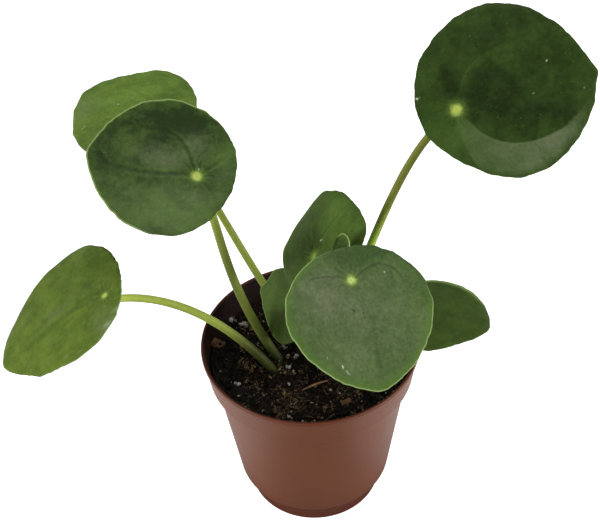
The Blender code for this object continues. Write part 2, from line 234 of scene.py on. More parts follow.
def finish_piece(bm, name, materials, smooth=True):
    """Makes a piece of a finished mesh and its materials."""
    mesh = bpy.data.meshes.new(name)
    bm.to_mesh(mesh)
    bm.free()
    for material in materials:
        mesh.materials.append(material)
    if smooth:
        mesh.shade_smooth()
    piece = bpy.data.objects.new(name, mesh)
    bpy.context.scene.collection.objects.link(piece)
    return piece


def with_supports(section, reach):
    """The section with a point a short way in from each end of its long runs, to keep them flat."""
    line = [section[0]]
    for (radius, height), (next_radius, next_height) in zip(section, section[1:]):
        run = math.hypot(next_radius - radius, next_height - height)
        if run > 4.0 * reach:
            for part in (reach / run, 1.0 - reach / run):
                line.append((radius + part * (next_radius - radius), height + part * (next_height - height)))
        line.append((next_radius, next_height))
    return line


def drill_drain_holes(pot):
    bm = bmesh.new()
    for index in range(DRAIN_HOLES):
        turn = math.tau * (index + 0.5) / DRAIN_HOLES
        place = Vector((math.cos(turn), math.sin(turn), 0.0)) * DRAIN_REACH * MM
        bmesh.ops.create_cone(
            bm, cap_ends=True, segments=36, radius1=DRAIN_RADIUS * MM, radius2=DRAIN_RADIUS * MM,
            depth=DRAIN_DEPTH * MM, matrix=Matrix.Translation(place),
        )
    drill = finish_piece(bm, "drain_hole_drill", [])
    cut = pot.modifiers.new("drain_holes", "BOOLEAN")
    cut.operation = "DIFFERENCE"
    cut.object = drill
    graph = bpy.context.evaluated_depsgraph_get()
    drilled = bpy.data.meshes.new_from_object(pot.evaluated_get(graph))
    pot.modifiers.clear()
    pot.data = drilled
    bpy.data.objects.remove(drill, do_unlink=True)


def make_pot():
    bm = bmesh.new()
    turned(bm, with_supports(POT_SECTION, POT_SUPPORT), POT_TURN_STEPS)
    corners = [
        edge for edge in bm.edges
        if edge.calc_face_angle(0.0) > POT_CORNER and abs(edge.verts[0].co.z - edge.verts[1].co.z) < 0.00001
    ]
    bmesh.ops.bevel(
        bm, geom=corners, offset=POT_EDGE_ROUND * MM, offset_type="OFFSET", segments=3, profile=0.5,
        affect="EDGES", material=-1, clamp_overlap=True,
    )
    for face in bm.faces:
        middle = face.calc_center_median()
        inwards = face.normal.x * middle.x + face.normal.y * middle.y < 0.0
        on_floor = face.normal.z > 0.9 and middle.z < POT_FLOOR_TOP * MM
        face.material_index = 1 if inwards or on_floor else 0
    pot = finish_piece(bm, "pot_moulding", [pot_plastic(), pot_inside()])
    drill_drain_holes(pot)
    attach(pot, "root")
    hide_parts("pot")


make_pot()


# Soil
# Dark peat that fills the pot to a finger's width under the rim. It is loose on top: crumbs, clods, fibres
# and bark chips, with white grains of perlite through it.
SOIL_LEVEL = 64.0
SOIL_LUMP = 1.5
SOIL_EDGE = 36.7
SOIL_BANK = 3.2
SOIL_CELLS = 150
SOIL_SIDE = [(36.55, 62.4), (34.4, 61.4), (27.5, 12.2), (24.5, 10.9), (23.9, 1.4)]
CROWNS = [(3.0, 2.0, 3.4), (-11.2, -0.9, 1.8), (-13.8, -5.4, 1.75)]
CRUMB_COUNT = 4600
# Each heap of crumbs has its place, its spread, its number of crumbs and its height
CRUMB_HEAPS = [(-9.0, -21.0, 3.6, 240, 0.2), (-24.4, -3.4, 2.6, 360, 1.2)]
HEAP_CLODS = 9
COLLAR_COUNT = 150
COLLAR_WIDTH = 2.6
FIBRE_COUNT = 210
FIBRE_TUFTS = [(-9.0, -21.0, 4.5, 70), (-21.0, -8.5, 3.5, 30), (10.0, -17.0, 4.0, 24)]
STRAWS = [((-3.6, -16.4), (5.9, -12.6), 0.42), ((14.0, 18.0), (24.0, 14.0), 0.34)]
PERLITE_PLACES = [
    (-29.1, 21.6, 1.4), (-24.8, 18.9, 1.7), (-9.8, 5.4, 1.2), (-8.4, 1.3, 1.0), (-5.4, 1.1, 1.0),
    (-8.5, -4.2, 1.0), (-6.4, -7.3, 0.7), (-27.1, -12.0, 0.9), (-31.3, -11.1, 0.6), (-26.3, -18.8, 0.6),
    (-17.7, -25.7, 0.6), (-8.5, -27.4, 0.6), (-8.3, -13.0, 0.5), (6.8, -15.8, 0.6), (-0.5, -21.5, 0.5),
]
PERLITE_COUNT = 60
BARK_PLACES = [
    (-34.5, 8.0, 2.9, 1.9), (-23.9, -3.4, 1.7, 1.1), (12.0, -22.0, 2.0, 1.2), (20.0, 14.0, 3.2, 1.8),
]
BARK_COUNT = 14
BATCH = 150
# The tones of loose bits, from the darkest to the palest
CRUMB_TONES = [
    (0.0, (0.003, 0.0025, 0.002)), (0.42, (0.019, 0.011, 0.007)), (0.62, (0.110, 0.064, 0.028)),
    (0.82, (0.340, 0.220, 0.095)), (1.0, (0.620, 0.480, 0.290)),
]
FIBRE_TONES = [(0.0, (0.03, 0.018, 0.009)), (0.5, (0.14, 0.085, 0.035)), (1.0, (0.46, 0.32, 0.14))]
PERLITE_TONES = [(0.0, (0.14, 0.11, 0.07)), (0.5, (0.36, 0.31, 0.24)), (1.0, (0.72, 0.69, 0.64))]
BARK_TONES = [(0.0, (0.04, 0.022, 0.012)), (0.5, (0.15, 0.072, 0.03)), (1.0, (0.44, 0.25, 0.11))]


def soil_height(x, y):
    """The soil's top: the solid's lumps, calmer round stems and at the wall, and a bank at the left."""
    lumps = noise.noise(Vector((x / 9.0, y / 9.0, 0.3))) + 0.6 * noise.noise(Vector((x / 4.0, y / 4.0, 7.1)))
    calm = min(1.0, max(0.0, (35.0 - math.hypot(x, y)) / 4.0))
    for place_x, place_y, radius in CROWNS:
        calm = min(calm, max(0.0, (math.hypot(x - place_x, y - place_y) - radius - 0.5) / 5.0))
    bank = SOIL_BANK * max(0.0, (-0.94 * x - 0.34 * y - 20.0) / 16.0) ** 1.5
    return SOIL_LEVEL - 0.6 + bank + SOIL_LUMP * calm * lumps


def crumbly(x, y):
    """The fine unevenness of loose peat, in millimetres."""
    near = noise.voronoi(Vector((x / 2.6, y / 2.6, 0.0)))[0][0]
    fine = noise.voronoi(Vector((x / 1.1, y / 1.1, 4.0)))[0][0]
    rough = noise.noise(Vector((x / 0.9, y / 0.9, 2.0)))
    return 1.5 * (0.42 - near) + 0.6 * (0.4 - fine) + 0.3 * rough


def soil_peat():
    material, make = new_material("soil_peat", 0.95, 0.25)
    clouds, grain = place_grain(make, 260.0, 2600.0)
    peat = make.mix(clouds, (0.0020, 0.0015, 0.0013), (0.0080, 0.0050, 0.0034))
    make.feed("Base Color", make.mix(make.times(grain, 0.35), peat, (0.050, 0.030, 0.016)))
    make.bump(grain, 0.0004)
    return material


def toned(name, roughness, tones, depth):
    """A material that takes each loose bit's own tone, from the value that its points carry."""
    material, make = new_material(name, roughness, 0.3)
    clouds, grain = place_grain(make, 700.0, 3200.0)
    ramp = make.add("ValToRGB", {"Fac": make.carried("tone")})
    stops = ramp.color_ramp.elements
    while len(stops) < len(tones):
        stops.new(0.5)
    for stop, (place, colour) in zip(stops, tones):
        stop.position = place
        stop.color = opaque(colour)
    shade = make.mix(make.times(clouds, 0.45), ramp.outputs["Color"], (0.008, 0.005, 0.004))
    make.feed("Base Color", shade)
    make.bump(grain, depth)
    return material


def make_soil_bed():
    """A fine round mat for the loose surface, drawn down round its edge to the pot's floor."""
    bm = bmesh.new()
    bmesh.ops.create_grid(bm, x_segments=SOIL_CELLS, y_segments=SOIL_CELLS, size=1.0)
    for vert in bm.verts:
        across, along = vert.co.x, vert.co.y
        x = SOIL_EDGE * across * math.sqrt(1.0 - 0.5 * along * along)
        y = SOIL_EDGE * along * math.sqrt(1.0 - 0.5 * across * across)
        calm = min(1.0, max(0.0, (SOIL_EDGE - math.hypot(x, y)) / 2.0))
        vert.co = Vector((x, y, soil_height(x, y) + calm * crumbly(x, y))) * MM
    rim = [edge for edge in bm.edges if edge.is_boundary]
    for radius, height in SOIL_SIDE:
        made = bmesh.ops.extrude_edge_only(bm, edges=rim)["geom"]
        for vert in made:
            if isinstance(vert, bmesh.types.BMVert):
                turn = math.atan2(vert.co.y, vert.co.x)
                vert.co = Vector((radius * math.cos(turn), radius * math.sin(turn), height)) * MM
        rim = [edge for edge in made if isinstance(edge, bmesh.types.BMEdge) and edge.is_boundary]
    bmesh.ops.edgeloop_fill(bm, edges=rim)
    bmesh.ops.recalc_face_normals(bm, faces=bm.faces)
    bed = finish_piece(bm, "soil_bed", [soil_peat()])
    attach(bed, "root")
    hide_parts("soil")


def clear_of_crowns(x, y, room):
    return all(math.hypot(x - a, y - b) > radius + room for a, b, radius in CROWNS)


def scattered(draw, reach, room):
    """A random place on the soil that keeps a little room round each stem."""
    while True:
        distance = reach * math.sqrt(draw.random())
        turn = math.tau * draw.random()
        x, y = distance * math.cos(turn), distance * math.sin(turn)
        if clear_of_crowns(x, y, room):
            return x, y


def add_lumps(bm, lumps, fineness, roughness):
    """Loose bits: balls pressed out of round, each with its tone on its points, made a batch at a time."""
    for first in range(0, len(lumps), BATCH):
        batch = bmesh.new()
        layer = batch.verts.layers.float.new("tone")
        for tone, middle, sizes, turns in lumps[first:first + BATCH]:
            turn = Matrix.Rotation(turns[0], 4, "Z") @ Matrix.Rotation(turns[1], 4, "X")
            made = bmesh.ops.create_icosphere(batch, subdivisions=fineness, radius=1.0)
            for vert in made["verts"]:
                push = 1.0 + roughness * noise.noise(vert.co * 1.7 + 3.0 * Vector(middle))
                vert.co = Vector(middle) * MM + turn @ (Vector(sizes) * MM * push * vert.co)
                vert[layer] = tone
        mesh = bpy.data.meshes.new("batch")
        batch.to_mesh(mesh)
        batch.free()
        bm.from_mesh(mesh)
        bpy.data.meshes.remove(mesh)


def loose_bits(name, material, smooth, fill):
    """A piece made of many loose bits that lie on the soil."""
    bm = bmesh.new()
    bm.verts.layers.float.new("tone")
    fill(bm)
    bits = finish_piece(bm, name, [material], smooth)
    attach(bits, "root")


def squashed(draw, size, height):
    """A bit's three half sizes, a little lower than it is wide."""
    wide, deep, high = draw.uniform(0.6, 1.2), draw.uniform(0.6, 1.2), draw.uniform(0.7, 1.2)
    return [size * wide, size * deep, size * height * high]


def crumb_places(draw):
    """Where each crumb lies, its size and how far it is raised: all over, in a collar round each of the two
    stalks that come straight out of the soil, and in the heaps, whose first few are larger."""
    places = []
    for _ in range(CRUMB_COUNT):
        size = 0.20 + 0.75 * draw.random() ** 4
        places.append((*scattered(draw, SOIL_EDGE - 0.6 - size, 0.2 + size), size, 0.0))
    for stalk_x, stalk_y, stalk_radius in CROWNS[1:]:
        for _ in range(COLLAR_COUNT):
            size = draw.uniform(0.2, 0.6)
            turn = draw.uniform(0.0, math.tau)
            out = draw.uniform(0.0, COLLAR_WIDTH)
            reach = stalk_radius + size * 0.4 + out
            x, y = stalk_x + reach * math.cos(turn), stalk_y + reach * math.sin(turn)
            places.append((x, y, size, draw.uniform(0.3, 1.0) * (COLLAR_WIDTH - out)))
    for heap_x, heap_y, spread, count, high in CRUMB_HEAPS:
        for index in range(count):
            x, y = heap_x + draw.gauss(0.0, spread), heap_y + draw.gauss(0.0, spread)
            off = math.hypot(x - heap_x, y - heap_y) / spread
            size = draw.uniform(0.14, 0.34) if index >= HEAP_CLODS else min(0.34 + 0.9 * high, 1.1)
            if math.hypot(x, y) < 35.0 and off < 2.5:
                sunk = 0.8 * max(0.0, size - 0.34)
                places.append((x, y, size, 0.2 + high * math.exp(-0.5 * off ** 2) - sunk))
    return places


def clod_at(x, y):
    """How much the peat clings together at a place, from 0 to 1: by patches, and more in the heaps."""
    clod = 0.5 + 1.5 * noise.noise(Vector((x / 4.6, y / 4.6, 11.0)))
    for heap_x, heap_y, spread, _, high in CRUMB_HEAPS:
        clod += 0.6 * high * math.exp(-0.5 * ((x - heap_x) ** 2 + (y - heap_y) ** 2) / spread ** 2)
    return min(1.0, max(0.0, clod))


def fill_crumbs(bm):
    """Crumbs of peat, paler where it clings together, with painted shade that darkens them by the left wall.
    """
    draw = random.Random(5)
    lumps = []
    for x, y, size, raised in crumb_places(draw):
        clod = clod_at(x, y)
        bed = soil_height(x, y) + max(0.0, crumbly(x, y))
        middle = (x, y, bed + 0.25 * size + raised + 0.5 * clod)
        tone = draw.random() * (1.0 if size < 0.45 else 0.75) * (0.48 + 0.74 * clod)
        # Painted shade: crumbs near the left wall are darker
        tone *= 0.55 if x < -27.0 else 1.0
        sizes = squashed(draw, size, 0.75)
        lumps.append((tone, middle, sizes, (draw.uniform(0.0, math.pi), draw.uniform(-0.6, 0.6))))
    add_lumps(bm, lumps, 1, 0.7)


def fill_perlite(bm):
    draw = random.Random(8)
    places = []
    for x, y, size in PERLITE_PLACES:
        for _ in range(3):
            part = size * draw.uniform(0.5, 0.85)
            places.append((x + draw.uniform(-0.6, 0.6) * size, y + draw.uniform(-0.6, 0.6) * size, part))
    for _ in range(PERLITE_COUNT):
        places.append((*scattered(draw, 34.5, 2.0), 0.16 + 0.4 * draw.random() ** 2))
    lumps = []
    for x, y, size in places:
        middle = (x, y, soil_height(x, y) + 0.45 + 0.35 * size)
        turns = (draw.uniform(0.0, math.pi), draw.uniform(-0.5, 0.5))
        lumps.append((draw.random(), middle, squashed(draw, size, 0.8), turns))
    add_lumps(bm, lumps, 2, 0.5)


def fill_bark(bm):
    layer = bm.verts.layers.float["tone"]
    draw = random.Random(3)
    places = [(x, y, length, width, draw.uniform(0.5, 1.0)) for x, y, length, width in BARK_PLACES]
    for _ in range(BARK_COUNT):
        x, y = scattered(draw, 33.0, 3.0)
        places.append((x, y, draw.uniform(0.8, 1.6), draw.uniform(0.4, 0.8), 0.6 * draw.random()))
    for x, y, length, width, tone in places:
        turn = Matrix.Rotation(draw.uniform(0.0, math.pi), 4, "Z")
        turn = turn @ Matrix.Rotation(draw.uniform(-0.5, 0.5), 4, "Y")
        lie = Matrix.Translation(Vector((x, y, soil_height(x, y) + 0.6)) * MM) @ turn
        made = bmesh.ops.create_cube(bm, size=2.0)
        for vert in made["verts"]:
            ragged = Vector((draw.uniform(0.7, 1.1), draw.uniform(0.6, 1.1), draw.uniform(0.6, 1.1)))
            vert.co = lie @ (Vector((length, width, 0.45)) * MM * ragged * vert.co)
            vert[layer] = tone


def sweep(bm, layer, route, radii, sides):
    """A tube along a route, its points carrying how far along it they are, closed at both ends."""
    across = (route[1] - route[0]).normalized().to_track_quat("Z", "Y")
    made = bmesh.ops.create_circle(bm, cap_ends=False, segments=sides, radius=1.0)["verts"]
    edges = list({edge for vert in made for edge in vert.link_edges})
    before = Matrix.Identity(4)
    ends = []
    for index, point in enumerate(route):
        if index:
            made = bmesh.ops.extrude_edge_only(bm, edges=edges)["geom"]
            edges = [item for item in made if isinstance(item, bmesh.types.BMEdge)]
            made = [item for item in made if isinstance(item, bmesh.types.BMVert)]
            edges = [edge for edge in edges if edge.verts[0] in made and edge.verts[1] in made]
        ahead = (route[min(index + 1, len(route) - 1)] - route[max(index - 1, 0)]).normalized()
        across = (across @ Vector((0.0, 0.0, 1.0))).rotation_difference(ahead) @ across
        size = radii[index]
        here = Matrix.LocRotScale(point, across, (size, size, size))
        bmesh.ops.transform(bm, matrix=here @ before.inverted(), verts=made)
        before = here
        for vert in made:
            vert[layer] = index / (len(route) - 1)
        if index in (0, len(route) - 1):
            ends.append(list(edges))
    for edges in ends:
        bmesh.ops.edgeloop_fill(bm, edges=edges)


def fibre_starts(draw):
    """Where each fibre starts and how long it is: all over the soil, and in tufts."""
    starts = [(*scattered(draw, 33.0, 1.5), 1.4 + 4.5 * draw.random() ** 2) for _ in range(FIBRE_COUNT)]
    for tuft_x, tuft_y, spread, count in FIBRE_TUFTS:
        for _ in range(count):
            x = tuft_x + spread * draw.gauss(0.0, 0.6)
            y = tuft_y + spread * draw.gauss(0.0, 0.6)
            starts.append((x, y, draw.uniform(0.9, 2.4)))
    return starts


def fibre_route(draw, x, y, length):
    """A fibre's bent way over the soil, as far as it keeps off the wall and the stems, and its thickness."""
    heading = draw.uniform(0.0, math.tau)
    bend = draw.uniform(-0.28, 0.28)
    thick = draw.uniform(0.045, 0.11)
    tip_up = draw.uniform(0.0, 0.9)
    route = []
    for index in range(6):
        if math.hypot(x, y) > 35.2 or not clear_of_crowns(x, y, 0.4):
            break
        lie = soil_height(x, y) + 0.75 + tip_up * (index / 5.0) ** 2
        route.append(Vector((x, y, lie)) * MM)
        heading += bend
        x += length / 5.0 * math.cos(heading)
        y += length / 5.0 * math.sin(heading)
    return route, thick


def fill_fibres(bm):
    layer = bm.verts.layers.float["tone"]
    draw = random.Random(21)
    for x, y, length in fibre_starts(draw):
        route, thick = fibre_route(draw, x, y, length)
        if len(route) < 3:
            continue
        radii = [thick * MM * (1.0 - 0.6 * (index / len(route)) ** 2) for index in range(len(route))]
        before = len(bm.verts)
        sweep(bm, layer, route, radii, 4)
        bm.verts.ensure_lookup_table()
        tone = draw.random()
        for vert in bm.verts[before:]:
            vert[layer] = tone


def fill_straw(bm):
    """The one long straw that lies on the soil before the plant, and a shorter one behind."""
    layer = bm.verts.layers.float["tone"]
    for start, end, thick in STRAWS:
        route = []
        for index in range(9):
            part = index / 8.0
            x = start[0] + part * (end[0] - start[0])
            y = start[1] + part * (end[1] - start[1]) + 0.5 * math.sin(math.pi * part)
            route.append(Vector((x, y, SOIL_LEVEL + 0.9 + 0.5 * part)) * MM)
        sweep(bm, layer, route, [thick * MM * (1.0 - 0.45 * abs(index - 4) / 4.0) for index in range(9)], 6)
    for vert in bm.verts:
        vert[layer] = 0.95


make_soil_bed()
loose_bits("soil_crumbs", toned("soil_crumb_peat", 0.9, CRUMB_TONES, 0.0002), True, fill_crumbs)
loose_bits("soil_perlite", toned("soil_perlite_grain", 0.85, PERLITE_TONES, 0.00015), False, fill_perlite)
loose_bits("soil_bark", toned("soil_bark_chip", 0.8, BARK_TONES, 0.0003), False, fill_bark)
loose_bits("soil_fibres", toned("soil_fibre", 0.7, FIBRE_TONES, 0.00005), True, fill_fibres)
loose_bits("soil_straw", toned("soil_straw_stem", 0.6, BARK_TONES, 0.00005), True, fill_straw)


# Main stem
# The short woody stub that most of the leaves grow from. It is ringed with the scars of leaves that it has
# dropped, and it stands in the soil.
STEM_PLACE = Vector((3.0, 2.0, 0.0))
STEM_RADIUS = 3.4
STEM_TOP = 81.5
STEM_FOOT = 52.0
STEM_RING = 2.4
STEM_RING_DEPTH = 0.14
STEM_STEPS = 70


def stem_bark():
    """Brown bark, greener towards the growing tip."""
    material, make = new_material("stem_bark", 0.75, 0.3)
    clouds, grain = place_grain(make, 350.0, 1800.0)
    bark = make.mix(clouds, (0.065, 0.045, 0.022), (0.150, 0.125, 0.050))
    green = make.times(make.step(make.here("Z"), 0.072, 0.082), 0.7)
    make.feed("Base Color", make.mix(green, bark, (0.120, 0.170, 0.045)))
    make.bump(grain, 0.0002)
    return material


def make_stem():
    bm = bmesh.new()
    section = [(0.0, STEM_TOP), (1.6, STEM_TOP - 0.05), (2.7, STEM_TOP - 0.4), (3.1, STEM_TOP - 1.1)]
    low, high = STEM_FOOT + 0.6, STEM_TOP - 1.8
    for index in range(STEM_STEPS + 1):
        level = high + (low - high) * index / STEM_STEPS
        ring = math.cos(math.tau * (high - level) / (2.0 * STEM_RING))
        section.append((STEM_RADIUS - STEM_RING_DEPTH + STEM_RING_DEPTH * ring, level))
    section += [(STEM_RADIUS - 0.8, STEM_FOOT), (0.0, STEM_FOOT)]
    turned(bm, section, 40)
    for vert in bm.verts:
        place = vert.co / MM
        if 0.0 < math.hypot(place.x, place.y) and place.z < STEM_TOP - 0.6:
            push = 0.22 * noise.noise(Vector((place.x / 1.6, place.y / 1.6, place.z / 0.8)))
            vert.co += Vector((place.x, place.y, 0.0)).normalized() * (push - 0.06) * MM
    bmesh.ops.translate(bm, vec=STEM_PLACE * MM, verts=bm.verts)
    stem = finish_piece(bm, "stem_stub", [stem_bark()])
    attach(stem, "root")
    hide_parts("main_stem")


make_stem()


# Leaves
# Each leaf is a round, slightly fleshy blade on a juicy stalk that joins it from below, off its middle. The
# plant has nine of them, which grow from the stem or straight out of the soil.
BLADE_THICKNESS = 0.8
HOLE_DEPTH = 9.0
GAP = 0.3
POINT_WIDTH = 0.2
WAVES = 5.0
NERVE_REACH = 0.55
DIMPLE = 0.3
DIMPLE_WIDTH = 2.5
# The places and sizes that the solids have, in millimetres. The swells of an outline are finer than the
# solid's: where round the leaf each lies and how wide it is, in degrees, and how far it stands out.
LEAVES = {
    "tall_right": dict(
        middle=(65, 10.8, 174.8), faces=(-0.034, -0.571, 0.82), tip=(0.992, 0.079, 0.096),
        radius=28.5, oval=-0.01, skew=0, egg=-0.002, square=0.016, point=1.2, spot=(-16.2, -4.3),
        dish=-1, fold=1.6, wave=0.3,
        swells=[
            (65, 25, 0.35), (135, 25, 0.5), (208, 22, 0.5), (268, 42, 0.65), (320, 20, -0.2), (2, 4, 1),
        ],
        root=(10, 72), start=(8.5, 3, 73.5), rise=(11.3, -1, 30.7), arrive=(16.2, -21, 29.3),
        thick=(3.2, 2.6),
    ),
    "upper_left": dict(
        middle=(-45.4, 4.5, 152.8), faces=(0.154, -0.418, 0.895), tip=(-0.977, 0.071, 0.201),
        radius=24, oval=-0.014, skew=0, egg=0.015, square=0.008, point=1.1, spot=(-11, 1),
        dish=2, fold=0.8, wave=0.3,
        swells=[(40, 18, -0.3), (153, 12, -0.3), (205, 18, 0.4), (250, 15, -0.4)],
        root=None, start=(-11.2, -0.9, 64), rise=(-20.7, 7.9, 35.5), arrive=(-6.2, -11, 27.6),
        thick=(3.6, 2.8),
    ),
    "back_left": dict(
        middle=(-58.7, 43.2, 147.4), faces=(-0.105, -0.069, 0.992), tip=(-0.983, -0.141, -0.114),
        radius=22.5, oval=0.003, skew=0, egg=-0.007, square=-0.021, point=0.1, spot=(-9.5, 4),
        dish=0, fold=0, wave=0.5,
        swells=[(38, 18, 0.6), (222, 22, 0.9), (295, 25, 0.9)],
        root=(140, 70.5), start=(-1.4, 5.7, 71.5), rise=(-15.4, 5.5, 15.6), arrive=(-29.3, 0.2, 74.8),
        thick=(3.1, 2.4),
    ),
    "low_left": dict(
        middle=(-82.6, -18.1, 112.6), faces=(-0.53, -0.06, 0.846), tip=(-0.769, -0.387, -0.509),
        radius=25.7, oval=-0.011, skew=0.009, egg=0.044, square=-0.003, point=1.3, spot=(-15.1, 9.9),
        dish=-1.5, fold=0, wave=0.4,
        swells=[(30, 14, -0.9), (105, 20, -0.8), (160, 18, -0.9), (243, 17, 2.2), (335, 22, 1.3)],
        root=None, start=(-13.8, -5.4, 64), rise=(-18, 1.4, 31), arrive=(-12.8, -19.2, 15.9),
        thick=(3.5, 2.5),
    ),
    "centre_back": dict(
        middle=(4.3, 4.8, 117.4), faces=(-0.74, -0.083, 0.667), tip=(0.606, 0.348, 0.715),
        radius=20.6, oval=-0.066, skew=-0.021, egg=-0.012, square=-0.038, point=0.2, spot=(-4.6, -2.3),
        dish=-1.5, fold=0, wave=0.3,
        swells=[(75, 30, 1.7), (130, 12, 0.9), (40, 13, -0.5), (59, 8, 0.6), (117, 9, -0.4)],
        root=None, start=(2.1, 2, 81.8), rise=(0, 0, 13), arrive=(-4, -3, 13),
        thick=(2.4, 2),
    ),
    "centre_front": dict(
        middle=(17.1, -32.7, 119.7), faces=(0.186, -0.477, 0.859), tip=(0.232, -0.828, -0.51),
        radius=24, oval=-0.012, skew=-0.004, egg=0.03, square=0.01, point=1.2, spot=(-11.6, -0.2),
        dish=-1, fold=0, wave=0.3,
        swells=[(135, 35, 0.4)],
        root=(-62, 72), start=(5.7, -3.1, 73.2), rise=(2.5, -8, 20), arrive=(4, -5, 19),
        thick=(2.8, 2.4),
    ),
    "low_right": dict(
        middle=(43.5, -3.6, 89.1), faces=(0.117, 0.074, 0.99), tip=(0.961, -0.259, -0.094),
        radius=19.5, oval=0.02, skew=0.071, egg=0.007, square=0.011, point=0.8, spot=(-9, 0),
        dish=-0.8, fold=0, wave=0.4,
        swells=[(35, 22, 0.7), (95, 20, 0.9), (315, 25, -1.1), (352, 8, 0.6), (5, 10, -0.4), (275, 12, 0.4)],
        root=(-22, 68.2), start=(8.3, -0.1, 69.3), rise=(6, -1.5, 8), arrive=(10, -2, 9),
        thick=(2.6, 2.2),
    ),
    "small_left": dict(
        middle=(-8.2, 4.3, 87.7), faces=(-0.802, -0.44, 0.402), tip=(-0.119, -0.543, -0.831),
        radius=13.5, oval=-0.01, skew=0.023, egg=0.008, square=0.015, point=0.3, spot=(-5, 5),
        dish=0.6, fold=0, wave=0.2,
        swells=[(256, 12, 0.9), (262, 7, 0.9), (335, 15, 0.5)],
        root=(168, 76), start=(-2.2, 3.1, 77), rise=(0.5, 1.5, 7), arrive=(-4.5, -2, 6.5),
        thick=(2, 1.6),
    ),
    "young": dict(
        middle=(11.5, -10.4, 127.9), faces=(-0.7, -0.36, 0.62), tip=(0.3, 0.6, 0.5),
        radius=4.6, oval=0.03, skew=0, egg=0.01, square=0, point=0.2, spot=(-3.3, -1.4),
        dish=0.6, fold=0, wave=0,
        swells=[(90, 50, -0.7), (270, 50, -0.7)],
        root=None, start=(4.9, 2, 81.8), rise=(-2, -14, 12), arrive=(8.7, 13.8, 10),
        thick=(1.2, 1),
    ),
}


def swell(angle, width):
    """1 at angle 0, which falls off to both sides round the leaf."""
    off = (angle + math.pi) % math.tau - math.pi
    return math.exp(-((off / width) ** 2))


class Leaf:
    """One leaf: the plane that its blade lies near, and the blade's outline and curve."""

    def __init__(self, name, sizes):
        self.name = name
        self.sizes = sizes
        self.up = Vector(sizes["faces"]).normalized()
        ahead = Vector(sizes["tip"])
        self.ahead = (ahead - ahead.dot(self.up) * self.up).normalized()
        self.side = self.up.cross(self.ahead)
        self.middle = Vector(sizes["middle"])

    def margin(self, angle):
        """The distance from the blade's middle to its edge: a near circle with a small point at the tip."""
        sizes = self.sizes
        round_part = 1.0 + sizes["oval"] * math.cos(2.0 * angle) + sizes["skew"] * math.sin(2.0 * angle)
        round_part += sizes["egg"] * math.cos(3.0 * angle) + sizes["square"] * math.cos(4.0 * angle)
        reach = sizes["radius"] * round_part + sizes["point"] * swell(angle, POINT_WIDTH)
        for degrees, width, amount in sizes["swells"]:
            reach += amount * swell(angle - math.radians(degrees), math.radians(width))
        return reach

    def lift(self, x, y):
        """How far the upper face stands off the blade's plane, as in the solids."""
        sizes = self.sizes
        reach = math.hypot(x, y) / sizes["radius"]
        level = sizes["dish"] * reach ** 2
        level += sizes["wave"] * reach ** 4 * math.cos(WAVES * math.atan2(y, x) + sizes["radius"])
        past_nerve = max(0.0, -y / sizes["radius"] - NERVE_REACH)
        level += sizes["fold"] * past_nerve
        to_spot = math.hypot(x - sizes["spot"][0], y - sizes["spot"][1])
        return level - DIMPLE * math.exp(-((to_spot / DIMPLE_WIDTH) ** 2))

    def world(self, x, y, level):
        return (self.middle + x * self.ahead + y * self.side + level * self.up) * MM


# Leaf stalks
# Juicy, nearly round stalks, yellow-green and a little see-through. Most of them are darker and browner where
# they leave the stem or the soil: partly their own colour, partly painted shade down in the pot. The tallest
# leaf's stalk is painted lighter low down instead, painted light where the leaves before it shade it. Each
# widens where it runs into its blade.
STALK_SIDES = 18
STALK_STEPS = 48
STALK_FLARE = 0.32
# The colour at the foot, which holds painted shade or, on the tallest leaf's stalk, painted light, the colour
# higher up, and how far along the stalk the change starts and ends
STALK_COLOURS_LIGHT_AND_SHADE = {
    # Painted light low on the tallest leaf's stalk; the dark feet of the others hold painted shade
    "tall_right": ((0.530, 0.740, 0.125), (0.158, 0.170, 0.022), 0.25, 0.60),
    "upper_left": ((0.015, 0.020, 0.006), (0.295, 0.355, 0.064), 0.01, 0.34),
    "back_left": ((0.095, 0.100, 0.024), (0.280, 0.345, 0.052), 0.10, 0.62),
    "low_left": ((0.056, 0.068, 0.013), (0.560, 0.670, 0.110), 0.14, 0.44),
}
STALK_PLAIN = ((0.120, 0.150, 0.030), (0.280, 0.360, 0.075), 0.04, 0.42)


def stalk_skin(name):
    """Green flesh under a clear skin, with darker clouds in it and another colour at its foot, which carries
    painted shade, and on the tallest leaf's stalk painted light.
    """
    low, high, change, changed = STALK_COLOURS_LIGHT_AND_SHADE.get(name, STALK_PLAIN)
    material, make = new_material("stalk_skin_" + name, 0.40, 0.15)
    clouds, grain = place_grain(make, 500.0, 2600.0)
    flesh = make.mix(make.step(make.carried("along"), change, changed), low, high)
    make.feed("Base Color", make.tint(make.times(clouds, 0.35), flesh, (0.68, 0.74, 0.60)))
    make.bump(grain, 0.00004)
    make.ends["Subsurface Weight"].default_value = 0.15
    make.ends["Subsurface Scale"].default_value = 0.001
    make.ends["Subsurface Radius"].default_value = (0.7, 1.0, 0.25)
    return material


def stalk_foot(sizes, start):
    """The first points of a stalk's line, in the stem, down in the soil or in the stem's tip."""
    if sizes["root"]:
        turn, height = sizes["root"]
        turn = math.radians(turn)
        out = Vector((math.cos(turn), math.sin(turn), 0.0))
        axis = STEM_PLACE + Vector((0.0, 0.0, height))
        return [axis + (STEM_RADIUS + past) * out for past in (-0.5, 0.2, 3.0 * GAP)]
    depths = (HOLE_DEPTH - GAP, 5.0, 2.0) if start.z < SOIL_LEVEL + 1.0 else (0.7,)
    return [start - Vector((0.0, 0.0, depth)) for depth in depths]


